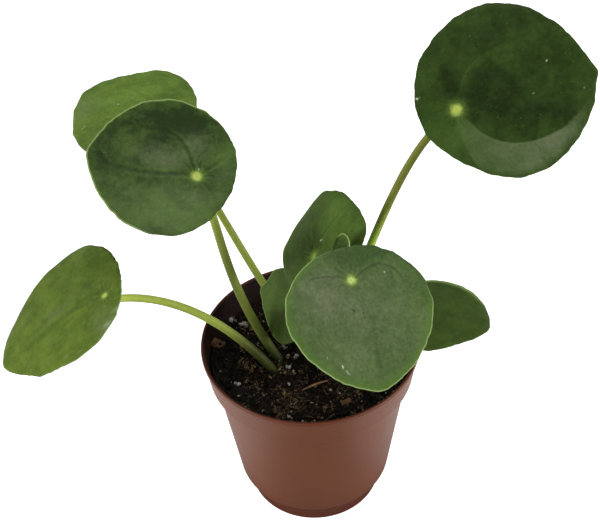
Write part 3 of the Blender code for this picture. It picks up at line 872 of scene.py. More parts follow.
def stalk_route(leaf):
    """The stalk's middle line, as in the solids but run on into what it grows from and what it carries."""
    sizes = leaf.sizes
    start = Vector(sizes["start"])
    spot_x, spot_y = sizes["spot"]
    under = leaf.lift(spot_x, spot_y) - BLADE_THICKNESS
    seat = leaf.middle + spot_x * leaf.ahead + spot_y * leaf.side + (under - GAP) * leaf.up
    last = seat - 1.3 * leaf.up
    rise = start + Vector(sizes["rise"])
    arrive = last - Vector(sizes["arrive"])
    route = stalk_foot(sizes, start)
    for index in range(STALK_STEPS + 1):
        part = index / STALK_STEPS
        rest = 1.0 - part
        point = rest ** 3 * start + 3.0 * rest ** 2 * part * rise
        point += 3.0 * rest * part ** 2 * arrive + part ** 3 * last
        route.append(point)
    return route + [last + more * leaf.up for more in (0.5, 1.0, 1.3, 1.5, 1.65)]


def make_stalk(leaf):
    route = stalk_route(leaf)
    thick, thin = leaf.sizes["thick"]
    lengths = [0.0]
    for before, here in zip(route, route[1:]):
        lengths.append(lengths[-1] + (here - before).length)
    radii = []
    for length in lengths:
        part = length / lengths[-1]
        radius = 0.5 * (thick + part * (thin - thick))
        radius *= 1.0 + STALK_FLARE * math.exp(-((lengths[-1] - length) ** 2))
        radii.append(radius * (1.0 + 0.025 * noise.noise(Vector((length / 6.0, thick, 0.0)))) * MM)
    bm = bmesh.new()
    layer = bm.verts.layers.float.new("along")
    sweep(bm, layer, [point * MM for point in route], radii, STALK_SIDES)
    bmesh.ops.recalc_face_normals(bm, faces=bm.faces)
    stalk = finish_piece(bm, "leaf_stalk_" + leaf.name, [stalk_skin(leaf.name)])
    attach(stalk, "root")
    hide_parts("stalk_" + leaf.name)


# Leaf blades
# Smooth, hairless and leathery, dark green above and pale below, with a pale spot over the stalk. Three main
# nerves and their branches lie in shallow valleys, and a thin pale line runs along the margin where the edge
# catches the light, partly a painted highlight. Painted light, shade and sheen lie in soft patches on the
# upper faces.
CELL_ALONG = 0.50
CELL_ROUND = 0.62
NERVE_STEP = 0.25
RAYS = 10
MARGIN_DROOP = 0.30
DROOP_WIDTH = 2.2
MARGIN_ROUND = 0.13
SCALLOPS = 0.28
PAST_SOLID = 0.08
UNEVEN = 0.10
MARGIN_PALE_AND_HIGHLIGHT = (0.250, 0.345, 0.115)
PAINTED_SHEEN = (0.135, 0.160, 0.088)
MAP_WIDTH = 100.0
CARRIED = ("from_spot", "from_edge", "nerve", "light", "painted_sheen", "rim", "fleck")
BLADE_COLOURS = ("Deep", "Bright", "Nerve", "Umbo", "Core")
BLADE_AMOUNTS = ("Vary", "Mottle", "Band", "Line")
# What an upper face has unless its own look says otherwise
BLADE_PLAIN = dict(
    nerves=[], patches=[], flecks=[], gloss=0.13, spot_size=1.0, vary=1.0, mottle=0.6, band=0.45, line=0.55,
    umbo=(0.300, 0.400, 0.080), core=(0.440, 0.540, 0.120),
)
# The rim says where round the leaf the pale margin shows, how far to each side, and how strongly: the margin's
# own paleness with a painted highlight where the edge catches the light. Each nerve has its strength at its
# start and end, its half width and its points, and one of a strength below 0 is only a paler line, a painted
# highlight. Each patch has its place, its half widths, how much painted light it adds, below 0 painted shade,
# and how much painted sheen lies on it. Each fleck has its place, its half widths and how pale it is, or below
# 0 how dark; a few pale ones are painted glints.
BLADE_LOOKS = {
    "tall_right": dict(
        deep=(0.013, 0.0245, 0.005), bright=(0.038, 0.074, 0.013), nerve=(0.012, 0.024, 0.006), depth=0.1,
        rim=(0, 180, 0.1), gloss=0.08, spot_size=1.12, core=(0.4, 0.48, 0.085), vary=0.8,
        nerves=[
            (0.05, 0.3, 0.5, [(-16.2, -4.3), (-7, -2.5), (8.6, 0.2), (20, 0.7), (28, 0.9)]),
            (0.1, 0.1, 0.5, [(-16.2, -4.3), (-14, 4), (-8, 11), (2, 15.5), (14, 15), (21, 11)]),
            (-0.4, -0.2, 0.5, [(-16.4, -7), (-16.9, -12), (-16.5, -17), (-15, -22)]),
            (-0.5, -0.25, 1.9, [(-14, 1.5), (-9.3, 9.5), (-0.2, 13), (9.5, 13)]),
            (0.3, 0.1, 0.5, [(-16.2, -4.3), (-17.5, 2), (-20.5, 8), (-23, 14)]),
            (0.25, 0.1, 0.6, [(8.9, -1.6), (16.7, 0.5), (27.5, -0.1)]),
        ],
        patches=[
            (-4.6, 0.1, 9, 8, -0.45, 0), (6, -10, 12, 6, -0.35, 0), (-24, -12, 5, 7, 0.4, 0),
            (-18, -13.5, 4.5, 6, 0.85, 0), (-22, 6, 8, 9, 0.15, 0), (-16.8, 5, 2.4, 7, -0.6, 0),
            (14, 8, 9, 5, -0.2, 0), (4, 22, 10, 4, -0.2, 0),
        ],
        flecks=[
            (-27.9, 1.5, 0.9, 0.25, 0.9), (5.3, 21.7, 0.3, 0.3, 0.7), (15, 6.9, 0.3, 0.3, 0.7),
            (8.8, -3.3, 0.3, 0.3, 0.6), (25, -4.1, 0.35, 0.3, 0.6), (-7.5, 19.5, 0.3, 0.3, 0.5),
        ],
    ),
    "upper_left": dict(
        deep=(0.02, 0.036, 0.01), bright=(0.072, 0.125, 0.028), nerve=(0.012, 0.026, 0.008), depth=0.25,
        rim=(-20, 115, 0.9), gloss=0.09, spot_size=1.1, band=0.12, line=0.7,
        nerves=[
            (0.85, 0.3, 0.65, [
                (-11, 1), (-5.7, 0.8), (-0.9, 1.8), (4.5, 2.2), (8.7, 2.5), (12.8, 2.3), (17.9, 2.1),
                (22.9, -2.9),
            ]),
            (1, 0.35, 0.65, [
                (-10.5, 0.2), (-10, -0.5), (-7.2, -6.8), (-4.2, -10.6), (-0.7, -12.6), (3.8, -13.6),
                (8, -13.2),
            ]),
            (0.15, 0.1, 0.5, [(-11, 1), (-10, 8), (-5, 13), (3, 15.5), (11, 14)]),
            (0.7, 0.2, 0.5, [(-11, 1), (-13, -1.1), (-16.8, -4.5), (-20, -8)]),
        ],
        patches=[
            (3.7, -16, 17, 6.5, -0.45, 0), (-14, -17, 8, 7, -0.25, 0), (-1, -20, 6, 4, -0.3, 0),
            (21.5, -3, 6, 8, -0.5, 0), (1.2, -3.9, 7.5, 3.8, 0.1, 0.5), (-8.8, -9.8, 4, 4.2, 0.1, 0.4),
            (-8.7, 8.4, 6.5, 2.8, 0.1, 0.2), (-3, 16, 14, 8, 0.75, 0.12), (-19.5, -4.8, 6, 11, 0.2, 0),
            (14, 10.5, 9, 8, 0, 0.05),
        ],
        flecks=[(-11.2, -1.6, 0.3, 0.3, 0.7), (21.6, -2.6, 0.7, 0.2, 0.4), (19.6, -1.6, 0.7, 0.2, 0.4)],
    ),
    "back_left": dict(
        deep=(0.08, 0.144, 0.024), bright=(0.152, 0.252, 0.042), nerve=(0.062, 0.108, 0.024), depth=0.1,
        rim=(0, 180, 0.15), mottle=0.5,
        patches=[(-17, -7, 8, 8, -0.25, 0), (18, -9, 6, 8, 0.1, 0.35), (6, -7, 8, 5, 0.2, 0)],
        flecks=[
            (18.6, 2.8, 0.35, 0.25, 0.9), (17.5, 1.5, 0.4, 0.3, 0.9), (11.8, 2.4, 0.3, 0.3, 0.7),
            (5.1, -6.5, 0.35, 0.3, 0.8),
        ],
    ),
    "low_left": dict(
        deep=(0.062, 0.102, 0.016), bright=(0.128, 0.186, 0.03), nerve=(0.05, 0.085, 0.03), depth=0.1,
        rim=(110, 70, 0.4), gloss=0.02, spot_size=0.75, mottle=0.3,
        nerves=[
            (0.7, 0.3, 1.2, [(-15.1, 9.9), (-6.8, 6), (2.1, 3.7), (13, 3.5), (20, 1)]),
            (0.5, 0.2, 1, [(-15.1, 9.9), (-12.5, 1.5), (-8.6, -5.5), (-0.2, -12.4)]),
            (0.2, 0.1, 0.8, [(-15.1, 9.9), (-8, 14), (2, 16.5), (12, 14)]),
        ],
        patches=[
            (-16.5, -10.8, 9, 9, -0.4, 0), (13.6, 8, 11, 12, 0.15, 0), (-11, 21.5, 4, 5.5, 0.35, 0.5),
            (-12, 8, 6, 8, -0.2, 0.05), (3, -1, 7, 2.5, -0.2, 0.25),
        ],
        flecks=[
            (7.2, -2, 0.4, 0.4, -0.8), (20.5, -6.4, 0.35, 0.35, -0.8), (17.1, 3.3, 0.4, 0.35, -0.8),
            # The four long pale flecks along the lower margin are painted glints
            (6, 21, 1.8, 0.25, 0.35), (0.9, 23.6, 1.6, 0.25, 0.35), (-11.3, 22.3, 2.4, 1.2, 0.32),
            (-16.5, 19.7, 3, 1.3, 0.24),
        ],
    ),
    "centre_back": dict(
        deep=(0.023, 0.037, 0.008), bright=(0.1, 0.176, 0.034), nerve=(0.022, 0.042, 0.01), depth=0.12,
        rim=(105, 62, 0.9), gloss=0.02, vary=0.45, mottle=0.4, umbo=(0.12, 0.2, 0.036),
        core=(0.21, 0.32, 0.065),
        patches=[(11, 5, 8, 10, 0.46, 0), (15.5, -6, 7, 8, -0.08, 0), (-3, 5, 10, 9, -0.35, 0)],
        flecks=[(0.9, -0.3, 0.35, 0.3, 0.9), (1.6, -1, 0.25, 0.25, 0.9)],
    ),
    "centre_front": dict(
        deep=(0.048, 0.086, 0.024), bright=(0.08, 0.134, 0.036), nerve=(0.026, 0.046, 0.016), depth=0.12,
        rim=(-32, 140, 1), core=(0.5, 0.62, 0.21), mottle=1.3, band=0.55,
        nerves=[
            (0.1, 0.6, 0.9, [(-11.6, -0.2), (-3, 1.5), (4, 2.5), (11, 1.5), (18, 0.6)]),
            (1.3, 0.6, 0.45, [(-11.6, -0.2), (-13.2, -3), (-14.2, -6.2), (-14.7, -10), (-14.9, -13.5)]),
            (1.4, 0.6, 0.45, [
                (-11.6, -0.2), (-12.2, 1.4), (-14.5, 6.6), (-14.9, 11), (-12.7, 14.6), (-9, 17),
            ]),
            (0.15, 0.05, 0.8, [(-11.6, -0.2), (-4, -8), (5, -13), (15, -12)]),
            (0.15, 0.05, 0.8, [(-11.6, -0.2), (-5, 8), (4, 13.5), (14, 12)]),
        ],
        patches=[
            (-2, -1, 18, 16, 0.1, 0.5), (-8, -13, 8, 8, 0.05, 0.55), (-21, 7, 5, 13, -1, -0.3),
            (16, -9, 9, 8, 0.25, 0.1), (5, 18, 9, 8, 0.5, 0.05),
        ],
        flecks=[
            (11.7, -15.2, 0.35, 0.3, 0.8), (15.5, -11, 0.3, 0.3, 0.9), (16.3, -11.5, 0.25, 0.25, 0.7),
            (17.3, -10.2, 0.5, 0.25, 0.9), (18.3, -9.5, 0.5, 0.25, 0.9), (-11.8, 11.5, 0.3, 0.3, 0.7),
            (-1.3, -2.4, 0.45, 0.4, -0.9), (0.1, 0.6, 0.6, 0.5, -0.7), (1.6, 0.4, 0.4, 0.4, -0.5),
        ],
    ),
    "low_right": dict(
        deep=(0.042, 0.073, 0.013), bright=(0.072, 0.124, 0.023), nerve=(0.028, 0.05, 0.013), depth=0.1,
        rim=(95, 65, 1), line=2.1,
        patches=[(16, 0, 7, 9, 0.35, 0)],
    ),
    "small_left": dict(
        deep=(0.038, 0.063, 0.011), bright=(0.096, 0.166, 0.027), nerve=(0.044, 0.07, 0.016), depth=0.08,
        vary=0.6, gloss=0.08, rim=(265, 95, 0.7),
        patches=[(-1, -6, 6, 6, 0.8, 0), (7, 0.5, 5.5, 6.5, -1.15, 0)],
    ),
    "young": dict(
        deep=(0.016, 0.029, 0.005), bright=(0.036, 0.066, 0.012), nerve=(0.04, 0.07, 0.015), depth=0.04,
        gloss=0.04, rim=(320, 80, 0.8),
    ),
}
# Along the tallest leaf's lower nerve the blade is creased, and past it the blade stands up by these slopes
CREASE_LEAF = "tall_right"
CREASE = [
    (-29, 2, 0), (-22, -1.5, 0.02), (-16.2, -5, 0.08), (-12.4, -9.4, 0.17), (-9.8, -12.9, 0.23),
    (-5.9, -15.9, 0.26), (-2.2, -17.6, 0.26), (2.1, -18.4, 0.26), (7.1, -18.2, 0.26), (12.1, -17.1, 0.24),
    (16.6, -15.3, 0.2), (21.5, -11.5, 0.1), (27, -6, 0),
]


def through(points, step):
    """Points a small step apart along a smooth bend through all the given ones."""
    line = [Vector(point) for point in points]
    line = [2.0 * line[0] - line[1]] + line + [2.0 * line[-1] - line[-2]]
    made = []
    for before, start, end, after in zip(line, line[1:], line[2:], line[3:]):
        count = max(2, int((end - start).length / step))
        for index in range(count):
            part = index / count
            made.append(
                start + 0.5 * part * ((end - before) + part * (2.0 * before - 5.0 * start + 4.0 * end - after
                + part * (3.0 * (start - end) + after - before)))
            )
    made.append(line[-2])
    return made


def blade_look(leaf):
    return {**BLADE_PLAIN, **BLADE_LOOKS[leaf.name]}


def plain_nerves(radius, spot):
    """The three main nerves of a leaf whose look gives none: one along its middle and one to each side."""
    line = [spot, radius * Vector((0.1, 0.03)), radius * Vector((0.6, 0.05)), radius * Vector((0.95, 0.0))]
    main = [(0.5, 0.2, 0.7, line)]
    for hand in (1.0, -1.0):
        line = [spot, spot + radius * Vector((0.08, hand * 0.30)), radius * Vector((0.0, hand * 0.60))]
        line += [radius * Vector((0.35, hand * 0.66)), radius * Vector((0.68, hand * 0.50))]
        main.append((0.4, 0.12, 0.7, line))
    return main


def nerve_lines(leaf):
    """The nerves as lines of points in the blade's own plane, each with its strength at its start and end
    and its half width: the main ones, their branches, and short rays round the stalk's spot."""
    radius = leaf.sizes["radius"]
    spot = Vector(leaf.sizes["spot"])
    main = blade_look(leaf)["nerves"] or plain_nerves(radius, spot)
    lines = [(through(nerve, NERVE_STEP), first, last, wide) for first, last, wide, nerve in main]
    draw = random.Random(int(radius * 10.0))
    for line, first, last, wide in list(lines):
        for part in (0.25, 0.42, 0.58, 0.73):
            root = line[int(part * len(line))]
            ahead = (line[int(part * len(line)) + 1] - root).normalized()
            hand = draw.choice((1.0, -1.0))
            across = Vector((-ahead.y, ahead.x)) * hand
            length = radius * draw.uniform(0.18, 0.32)
            half = root + 0.5 * length * (0.55 * ahead + 0.85 * across)
            end = root + length * (0.85 * ahead + 0.75 * across)
            branch = 0.35 * (first + part * (last - first))
            lines.append((through([root, half, end], NERVE_STEP), branch, 0.3 * branch, wide))
    for index in range(RAYS):
        turn = math.tau * (index + draw.uniform(-0.3, 0.3)) / RAYS
        way = Vector((math.cos(turn), math.sin(turn)))
        length = min(0.35 * radius, draw.uniform(4.0, 8.5))
        bend = Vector((-way.y, way.x)) * draw.uniform(-0.8, 0.8)
        ray = [spot + 2.4 * way, spot + 0.6 * length * way + bend, spot + length * way]
        lines.append((through(ray, NERVE_STEP), 0.7, 0.1, 0.35))
    return lines


def blade_group():
    """The upper face's colour and fine relief, from the blade's own map and from what its points carry:
    their distance from the stalk's spot and from the margin, in millimetres, how near a nerve they lie, and
    how much painted light, shade and sheen lies there."""
    colours = [(name, "Color", (0.0, 0.0, 0.0, 1.0)) for name in BLADE_COLOURS]
    amounts = [(name, "Float", 0.0) for name in (*BLADE_AMOUNTS, "Offset")]
    sent = [("Color", "Color"), ("Height", "Float"), ("Roughness", "Float")]
    make, given = new_group("blade_markings", colours + amounts, sent)
    flat = make.add("UVMap", {}, uv_map="blade").outputs["UV"]
    lay = make.add("Mapping", {"Vector": flat, "Scale": (MAP_WIDTH,) * 3}, vector_type="POINT")
    shift = make.add("CombineXYZ", {"Z": given["Offset"]}).outputs[0]
    place = make.add("VectorMath", {0: lay.outputs[0], 1: shift}, operation="ADD").outputs[0]
    carried = {name: make.carried(name) for name in CARRIED}
    spot = carried["from_spot"]
    edge = carried["from_edge"]
    # The leaf's own greens in soft patches of three sizes, moved by the painted light and shade that the
    # points carry, and lightened past the brighter one where that painted light is strong
    cloudy = make.step(make.cloud(place, 0.14), 0.30, 0.70)
    patchy = make.step(make.cloud(place, 0.55), 0.28, 0.72)
    fine = make.add("TexNoise", {"Vector": place, "Scale": 1.5, "Detail": 2.0, "Roughness": 0.6})
    grainy = make.step(fine.outputs[0], 0.28, 0.72)
    share = make.plus(make.times(cloudy, 0.54), make.times(patchy, 0.30))
    share = make.plus(share, make.times(grainy, 0.16))
    calm = make.plus(make.times(make.work_out("SUBTRACT", share, 0.5), given["Vary"]), 0.5)
    lit = make.plus(calm, carried["light"])
    colour = make.mix(lit, given["Deep"], given["Bright"])
    colour = make.tint(1.0, colour, make.stretch(lit, 1.0, 1.5, 1.0, 2.0))
    # Olive and yellowish blotches, then the painted sheen, a grey-green reflection painted on
    olive = make.times(make.step(make.cloud(place, 0.18), 0.48, 0.68), 0.45)
    colour = make.tint(olive, colour, (1.14, 1.02, 0.80))
    sheen_share = make.plus(make.times(share, 1.2), 0.4)
    sheen_share = make.work_out("MULTIPLY", carried["painted_sheen"], sheen_share, use_clamp=True)
    colour = make.mix(sheen_share, colour, PAINTED_SHEEN)
    # Fine mottling, darker and lighter, all over
    mottle = make.stretch(make.cloud(place, 0.95, 3.0, 0.7), 0.80, 1.20, 0.30, 0.70)
    colour = make.tint(given["Mottle"], colour, mottle, clamp_factor=False)
    # A faint net of small veins between the nerves, and the nerves
    stray = make.add("VectorMath", {0: fine.outputs["Color"], 3: 0.9}, operation="SCALE").outputs[0]
    strayed = make.add("VectorMath", {0: place, 1: stray}, operation="ADD").outputs[0]
    net = make.add("TexVoronoi", {"Vector": strayed, "Scale": 0.45}, feature="DISTANCE_TO_EDGE")
    vein = make.step(net.outputs["Distance"], 0.16, 0.0)
    colour = make.mix(make.times(vein, 0.07), colour, given["Nerve"])
    colour = make.mix(make.times(carried["nerve"], 0.62), colour, given["Nerve"])
    # Fresher green in a band along the margin, then its pale line: the margin's own paleness, painted on only
    # where the edge catches the light, so partly a painted highlight
    band = make.times(make.step(edge, 3.4, 0.5), make.times(carried["rim"], given["Band"]))
    colour = make.mix(band, colour, (0.085, 0.170, 0.024))
    line = make.step(make.work_out("DIVIDE", edge, given["Line"]), 1.0, 0.2)
    colour = make.mix(make.times(line, carried["rim"]), colour, MARGIN_PALE_AND_HIGHLIGHT)
    # The pale spot over the stalk, with its soft ragged edge and its small warmer middle
    colour = make.mix(make.times(make.step(spot, 4.0, 1.3), 0.45), colour, (0.130, 0.215, 0.035))
    ragged = make.plus(spot, make.plus(make.times(patchy, 0.45), make.times(grainy, 0.35)))
    colour = make.mix(make.step(ragged, 2.75, 1.25), colour, given["Umbo"])
    colour = make.mix(make.step(ragged, 1.9, 0.9), colour, given["Core"])
    colour = make.mix(make.times(make.step(spot, 0.8, 0.2), 0.35), colour, (0.340, 0.350, 0.060))
    # A few pale specks of dust and dried water, larger pale flecks, some of them painted glints, and small
    # dark scars
    speck = make.add("TexVoronoi", {"Vector": place, "Scale": 0.60}, feature="F1").outputs
    chosen = make.step(make.add("SeparateColor", {0: speck["Color"]}).outputs[0], 0.38, 0.90)
    dot = make.times(make.step(speck["Distance"], 0.110, 0.040), chosen)
    colour = make.mix(make.times(dot, 0.60), colour, (0.26, 0.31, 0.12))
    colour = make.mix(make.step(carried["fleck"], 0.05, 0.85), colour, (0.560, 0.600, 0.460))
    colour = make.mix(make.step(carried["fleck"], -0.05, -0.85), colour, (0.030, 0.034, 0.014))
    make.feed("Color", colour)
    height = make.plus(make.times(vein, -0.30), make.times(grainy, 0.35))
    make.feed("Height", make.work_out("SUBTRACT", height, make.times(carried["nerve"], 0.8)))
    make.feed("Roughness", make.stretch(share, 0.34, 0.44))
    return make.tree


BLADE_MARKINGS = blade_group()


def blade_upper(leaf):
    look = blade_look(leaf)
    material, make = new_material("blade_upper_" + leaf.name, 0.4, look["gloss"])
    given = {name: opaque(look[name.lower()]) for name in BLADE_COLOURS + BLADE_AMOUNTS}
    given["Offset"] = leaf.sizes["radius"] * 7.0
    markings = make.add("Group", given, node_tree=BLADE_MARKINGS).outputs
    make.feed("Base Color", markings["Color"])
    make.feed("Roughness", markings["Roughness"])
    make.bump(markings["Height"], 0.00002)
    return material


def blade_under():
    """The pale, duller underside, on which the nerves stand out paler still."""
    material, make = new_material("blade_under", 0.55, 0.3)
    clouds, grain = place_grain(make, 160.0, 1500.0)
    green = make.mix(clouds, (0.120, 0.195, 0.060), (0.170, 0.255, 0.085))
    spot = make.step(make.carried("from_spot"), 3.6, 1.4)
    ribs = make.work_out("MAXIMUM", make.times(make.carried("nerve"), 0.75), spot)
    make.feed("Base Color", make.mix(ribs, green, (0.320, 0.400, 0.150)))
    make.bump(grain, 0.00005)
    return material


def blade_rim():
    """The thin edge between the two faces, pale where the margin line shows: partly its own paleness, partly a
    painted highlight.
    """
    material, make = new_material("blade_rim", 0.42, 0.3)
    clouds, grain = place_grain(make, 220.0, 1500.0)
    green = make.mix(clouds, (0.060, 0.110, 0.022), (0.090, 0.150, 0.035))
    make.feed("Base Color", make.mix(make.carried("rim"), green, (0.280, 0.380, 0.125)))
    make.bump(grain, 0.00003)
    return material


BLADE_UNDER = blade_under()
BLADE_RIM = blade_rim()


def round_sheet(rings, around):
    """A flat round sheet of radius 1, made by turning a line of points about its middle."""
    bm = bmesh.new()
    spun(bm, [bm.verts.new((index / rings, 0.0, 0.0)) for index in range(rings + 1)], around, 0.0001)
    bm.normal_update()
    if sum(face.normal.z for face in bm.faces) < 0.0:
        bmesh.ops.reverse_faces(bm, faces=bm.faces)
    return bm


def near_tree(points):
    tree = kdtree.KDTree(len(points))
    for index, point in enumerate(points):
        tree.insert((point[0], point[1], 0.0), index)
    tree.balance()
    return tree


CREASE_LINE = through(CREASE, NERVE_STEP)
CREASE_TREE = near_tree(CREASE_LINE)


def past_crease(x, y):
    """How far past the crease a place lies, in millimetres, and how steeply the blade stands up there."""
    _, index, _ = CREASE_TREE.find((x, y, 0.0))
    index = min(max(index, 1), len(CREASE_LINE) - 2)
    here = CREASE_LINE[index]
    along = (CREASE_LINE[index + 1] - CREASE_LINE[index - 1]).to_2d().normalized()
    return along.y * (x - here.x) - along.x * (y - here.y), here.z


def nearest_nerve(leaf):
    """A function that gives, for a place on the blade, how far off the nearest nerve is, its strength there
    and its half width."""
    points = []
    strengths = []
    widths = []
    for line, first, last, wide in nerve_lines(leaf):
        points += line
        strengths += [first + (last - first) * index / len(line) for index in range(len(line))]
        widths += [wide] * len(line)
    tree = near_tree(points)

    def find(x, y):
        _, index, distance = tree.find((x, y, 0.0))
        return distance, strengths[index], widths[index]

    return find


def fine_margin(leaf, angle, way):
    """The margin with the shallow scallops and small waves that the solid leaves out."""
    radius = leaf.sizes["radius"]
    ragged = noise.noise(2.6 * way + Vector((0.0, 0.0, radius)))
    ragged += 1.3 * noise.noise(0.23 * radius * way + Vector((5.0, 0.0, radius)))
    ragged += 1.6 * (abs(noise.noise(0.30 * radius * way + Vector((9.0, 0.0, radius)))) - 0.2)
    return leaf.margin(angle) + PAST_SOLID + min(1.0, radius / 20.0) * SCALLOPS * ragged


def oval(x, y, wide, high):
    """1 at the middle of an oval patch, falling off by its half widths."""
    return math.exp(-((x / wide) ** 2) - (y / high) ** 2)


def crease_at(x, y, gap):
    """How far the part past the crease stands up at a place, and how much painted light and painted sheen lie
    on it there.
    """
    past, slope = past_crease(x, y)
    if past <= 0.0:
        return 0.0, 0.0, 0.0
    right_of_vein = min(1.0, max(0.0, (x + 16.9 + 0.3 * min(0.0, y + 15.0)) / 0.9))
    off_margin = min(1.0, 0.10 + max(0.0, gap - 0.4) / 3.4)
    shown = min(1.0, past / 0.5) * slope / 0.26 * off_margin * right_of_vein
    stands = slope * (math.hypot(past, 0.5) - 0.5)
    return stands, 0.85 * shown, shown * min(0.62, max(0.24, 0.44 + 0.015 * x))


def blade_place(leaf, look, find_nerve, angle, part):
    """A place on the upper face, part of the way from the stalk's spot to the margin: where it lies in the
    blade's plane and off it, and the values that its point carries."""
    sizes = leaf.sizes
    radius = sizes["radius"]
    spot_x, spot_y = sizes["spot"]
    way = Vector((math.cos(angle), math.sin(angle), 0.0))
    reach = fine_margin(leaf, angle, way)
    out_x, out_y = reach * way.x - spot_x, reach * way.y - spot_y
    x, y = spot_x + part * out_x, spot_y + part * out_y
    gap = (1.0 - part) * math.hypot(out_x, out_y)
    distance, strength, wide = find_nerve(x, y)
    near_nerve = math.exp(-((distance / wide) ** 2))
    rim_turn, rim_spread, rim_amount = look["rim"]
    off = math.cos(angle - math.radians(rim_turn)) - math.cos(math.radians(rim_spread))
    rim = rim_amount * min(1.0, max(0.0, 2.5 * off))
    level = leaf.lift(x, y)
    level -= look["depth"] * max(0.0, strength) * math.exp(-((distance / (1.5 * wide)) ** 2))
    level += UNEVEN * noise.noise(Vector((x / 5.0, y / 5.0, radius)))
    level -= MARGIN_DROOP * (1.0 - 1.3 * rim) * max(0.0, 1.0 - gap / DROOP_WIDTH) ** 2
    # Painted highlights: a pale line along each nerve of strength below 0, and a paler band on each flank of a
    # nerve's valley
    light = 0.8 * max(0.0, -strength) * near_nerve
    light += 0.45 * max(0.0, strength) * math.exp(-(((distance - 2.0 * wide) / (0.8 * wide)) ** 2))
    # Patches of painted light and shade, and of painted sheen
    painted_sheen = 0.0
    for patch_x, patch_y, patch_wide, patch_high, lighter, greyer in look["patches"]:
        amount = oval(x - patch_x, y - patch_y, patch_wide, patch_high)
        light += lighter * amount
        painted_sheen += greyer * amount
    fleck = 0.0
    for fleck_x, fleck_y, fleck_wide, fleck_high, amount in look["flecks"]:
        fleck += amount * oval(x - fleck_x, y - fleck_y, fleck_wide, fleck_high)
    if leaf.name == CREASE_LEAF:
        # The crease takes the place of the solid's plain fold, and past it the blade gets painted light and
        # painted sheen
        stands, lighter, greyer = crease_at(x, y, gap)
        level -= sizes["fold"] * max(0.0, -y / radius - NERVE_REACH)
        level += stands
        light += lighter
        painted_sheen += greyer
    from_spot = math.hypot(x - spot_x, y - spot_y) / look["spot_size"]
    carried = (from_spot, gap, max(0.0, strength) * near_nerve, light, painted_sheen, rim, fleck)
    return x, y, level, dict(zip(CARRIED, carried))


def thicken(blade):
    """Gives the blade's face its thickness, thinner at the margin, and rounds the margin."""
    blade.vertex_groups.new(name="thickness")
    sheet = blade.modifiers.new("thickness", "SOLIDIFY")
    sheet.thickness = BLADE_THICKNESS * MM
    sheet.offset = -1.0
    sheet.vertex_group = "thickness"
    sheet.material_offset = 1
    sheet.material_offset_rim = 2
    rounding = blade.modifiers.new("rounded_margin", "BEVEL")
    rounding.width = MARGIN_ROUND * MM
    rounding.segments = 2
    rounding.limit_method = "ANGLE"
    rounding.angle_limit = math.radians(50.0)


def make_blade(leaf):
    look = blade_look(leaf)
    radius = leaf.sizes["radius"]
    find_nerve = nearest_nerve(leaf)
    bm = round_sheet(max(8, int(radius / CELL_ALONG)), max(40, int(math.tau * radius / CELL_ROUND)))
    layers = {name: bm.verts.layers.float.new(name) for name in CARRIED}
    flat_map = bm.loops.layers.uv.new("blade")
    thickness = bm.verts.layers.deform.verify()
    places = {}
    for vert in bm.verts:
        angle = math.atan2(vert.co.y, vert.co.x)
        x, y, level, carried = blade_place(leaf, look, find_nerve, angle, vert.co.to_2d().length)
        for name, value in carried.items():
            vert[layers[name]] = value
        vert[thickness][0] = 0.45 + 0.55 * min(1.0, carried["from_edge"] / 2.0)
        places[vert] = (x, y)
        vert.co = leaf.world(x, y, level)
    for face in bm.faces:
        for loop in face.loops:
            x, y = places[loop.vert]
            loop[flat_map].uv = (x / MAP_WIDTH, y / MAP_WIDTH)
    blade = finish_piece(bm, "leaf_blade_" + leaf.name, [blade_upper(leaf), BLADE_UNDER, BLADE_RIM])
    thicken(blade)
    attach(blade, "root")
    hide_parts("blade_" + leaf.name)


for leaf_name, leaf_sizes in LEAVES.items():
    one_leaf = Leaf(leaf_name, leaf_sizes)
    make_stalk(one_leaf)
    make_blade(one_leaf)


# Floor
# A plain white studio floor that shows as pure white round the plant, as it glows white to the camera.
FLOOR_SIZE = 16.0


def make_floor():
    bm = bmesh.new()
    bmesh.ops.create_grid(bm, x_segments=1, y_segments=1, size=0.5 * FLOOR_SIZE)
    material, make = new_material("floor_paper", 0.9, 0.0)
    clouds, _ = place_grain(make, 3.0, 400.0)
    make.feed("Base Color", make.mix(clouds, (0.42, 0.42, 0.42), (0.44, 0.44, 0.44)))
    rays = make.add("LightPath", {}).outputs
    place = make.add("TexCoord", {}).outputs["Object"]
    from_pot = make.add("VectorMath", {0: place}, operation="LENGTH").outputs["Value"]
    # Glossy surfaces see it glow only faintly, more to the left and right of the pot and less close to it: a
    # painted reflection of side-lit floor and a painted shadow round the pot
    aside = make.times(make.step(make.work_out("ABSOLUTE", make.here("X")), 0.022, 0.060), 0.42)
    mirrored = make.plus(aside, make.times(make.step(from_pot, 0.042, 0.12), 0.12))
    seen = make.plus(rays["Is Camera Ray"], make.times(rays["Is Glossy Ray"], mirrored))
    make.feed("Emission Color", make.mix(seen, (0.0, 0.0, 0.0), (1.0, 1.0, 1.0)))
    make.ends["Emission Strength"].default_value = 1.2
    finish_piece(bm, "studio_floor", [material])


make_floor()


# Studio light
# Two broad round soft boxes stand to the left and right of the plant, each with a small one near the floor
# below it. A smaller one hangs above the plant, and the room round them is dim.
PLANT_MIDDLE = Vector((0.0, 0.0, 0.11))


def add_soft_box(name, ahead, distance, size, power):
    data = bpy.data.lights.new(name, "AREA")
    data.shape = "DISK"
    data.size = size
    data.energy = power
    box = bpy.data.objects.new(name, data)
    ahead = Vector(ahead).normalized()
    box.location = PLANT_MIDDLE + distance * ahead
    box.rotation_mode = "QUATERNION"
    box.rotation_quaternion = ahead.to_track_quat("Z", "Y")
    bpy.context.scene.collection.objects.link(box)


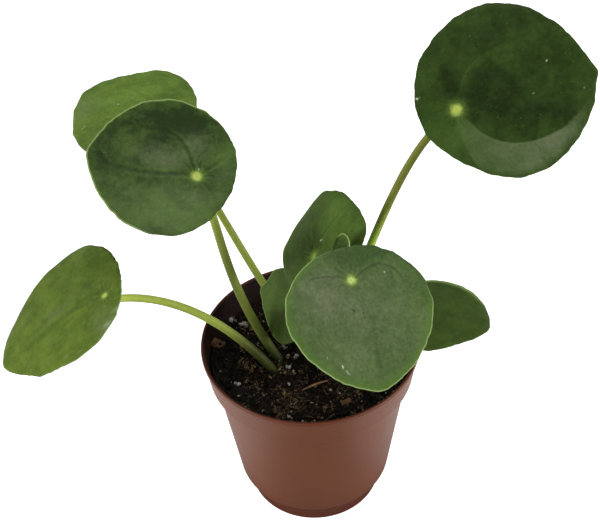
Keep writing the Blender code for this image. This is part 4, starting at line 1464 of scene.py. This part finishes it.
add_soft_box("soft_box_left", (-0.88, -0.32, 0.34), 1.40, 1.2, 16.5)
add_soft_box("soft_box_right", (0.88, -0.32, 0.34), 1.40, 1.2, 16.0)
add_soft_box("low_box_left", (-0.93, -0.36, 0.06), 1.40, 0.34, 5.0)
add_soft_box("low_box_right", (0.93, -0.36, 0.06), 1.40, 0.34, 4.5)
add_soft_box("soft_box_above", (0.03, 0.30, 0.95), 1.25, 0.5, 3.0)
world = bpy.data.worlds.new("dim_studio")
world.use_nodes = True
surround = world.node_tree.nodes["Background"]
surround.inputs["Color"].default_value = (1.0, 1.0, 1.0, 1.0)
surround.inputs["Strength"].default_value = 0.22
bpy.context.scene.world = world
bpy.context.scene.view_settings.view_transform = "Standard"


# Camera
# It stands before the plant and looks down on it, at the photograph's angle and with its field of view.
CAMERA_RISE = 46.39
CAMERA_DISTANCE = 0.480
CAMERA_PITCH = 42.957
CAMERA_YAW = -0.413
CAMERA_ROLL = -2.572
CAMERA_LENS = 78.84
CAMERA_SENSOR = 36.0
RIM_MIDDLE = Vector((0.0, 0.0, 0.074))


def make_camera():
    angles = (CAMERA_RISE, CAMERA_PITCH, CAMERA_YAW, CAMERA_ROLL)
    rise, pitch, yaw, roll = (math.radians(angle) for angle in angles)
    place = Vector((0.0, -math.cos(rise), math.sin(rise))) * CAMERA_DISTANCE + RIM_MIDDLE
    ahead = Vector((math.sin(yaw) * math.cos(pitch), math.cos(yaw) * math.cos(pitch), -math.sin(pitch)))
    right = Vector((math.cos(yaw), -math.sin(yaw), 0.0))
    above = right.cross(ahead)
    turned_right = math.cos(roll) * right + math.sin(roll) * above
    turned_above = -math.sin(roll) * right + math.cos(roll) * above
    data = bpy.data.cameras.new("photo_camera")
    data.lens = CAMERA_LENS
    data.sensor_width = CAMERA_SENSOR
    data.clip_start = 0.01
    camera = bpy.data.objects.new("photo_camera", data)
    turn = Matrix((turned_right, turned_above, -ahead)).transposed().to_4x4()
    camera.matrix_world = Matrix.Translation(place) @ turn
    bpy.context.scene.collection.objects.link(camera)
    bpy.context.scene.camera = camera


make_camera()
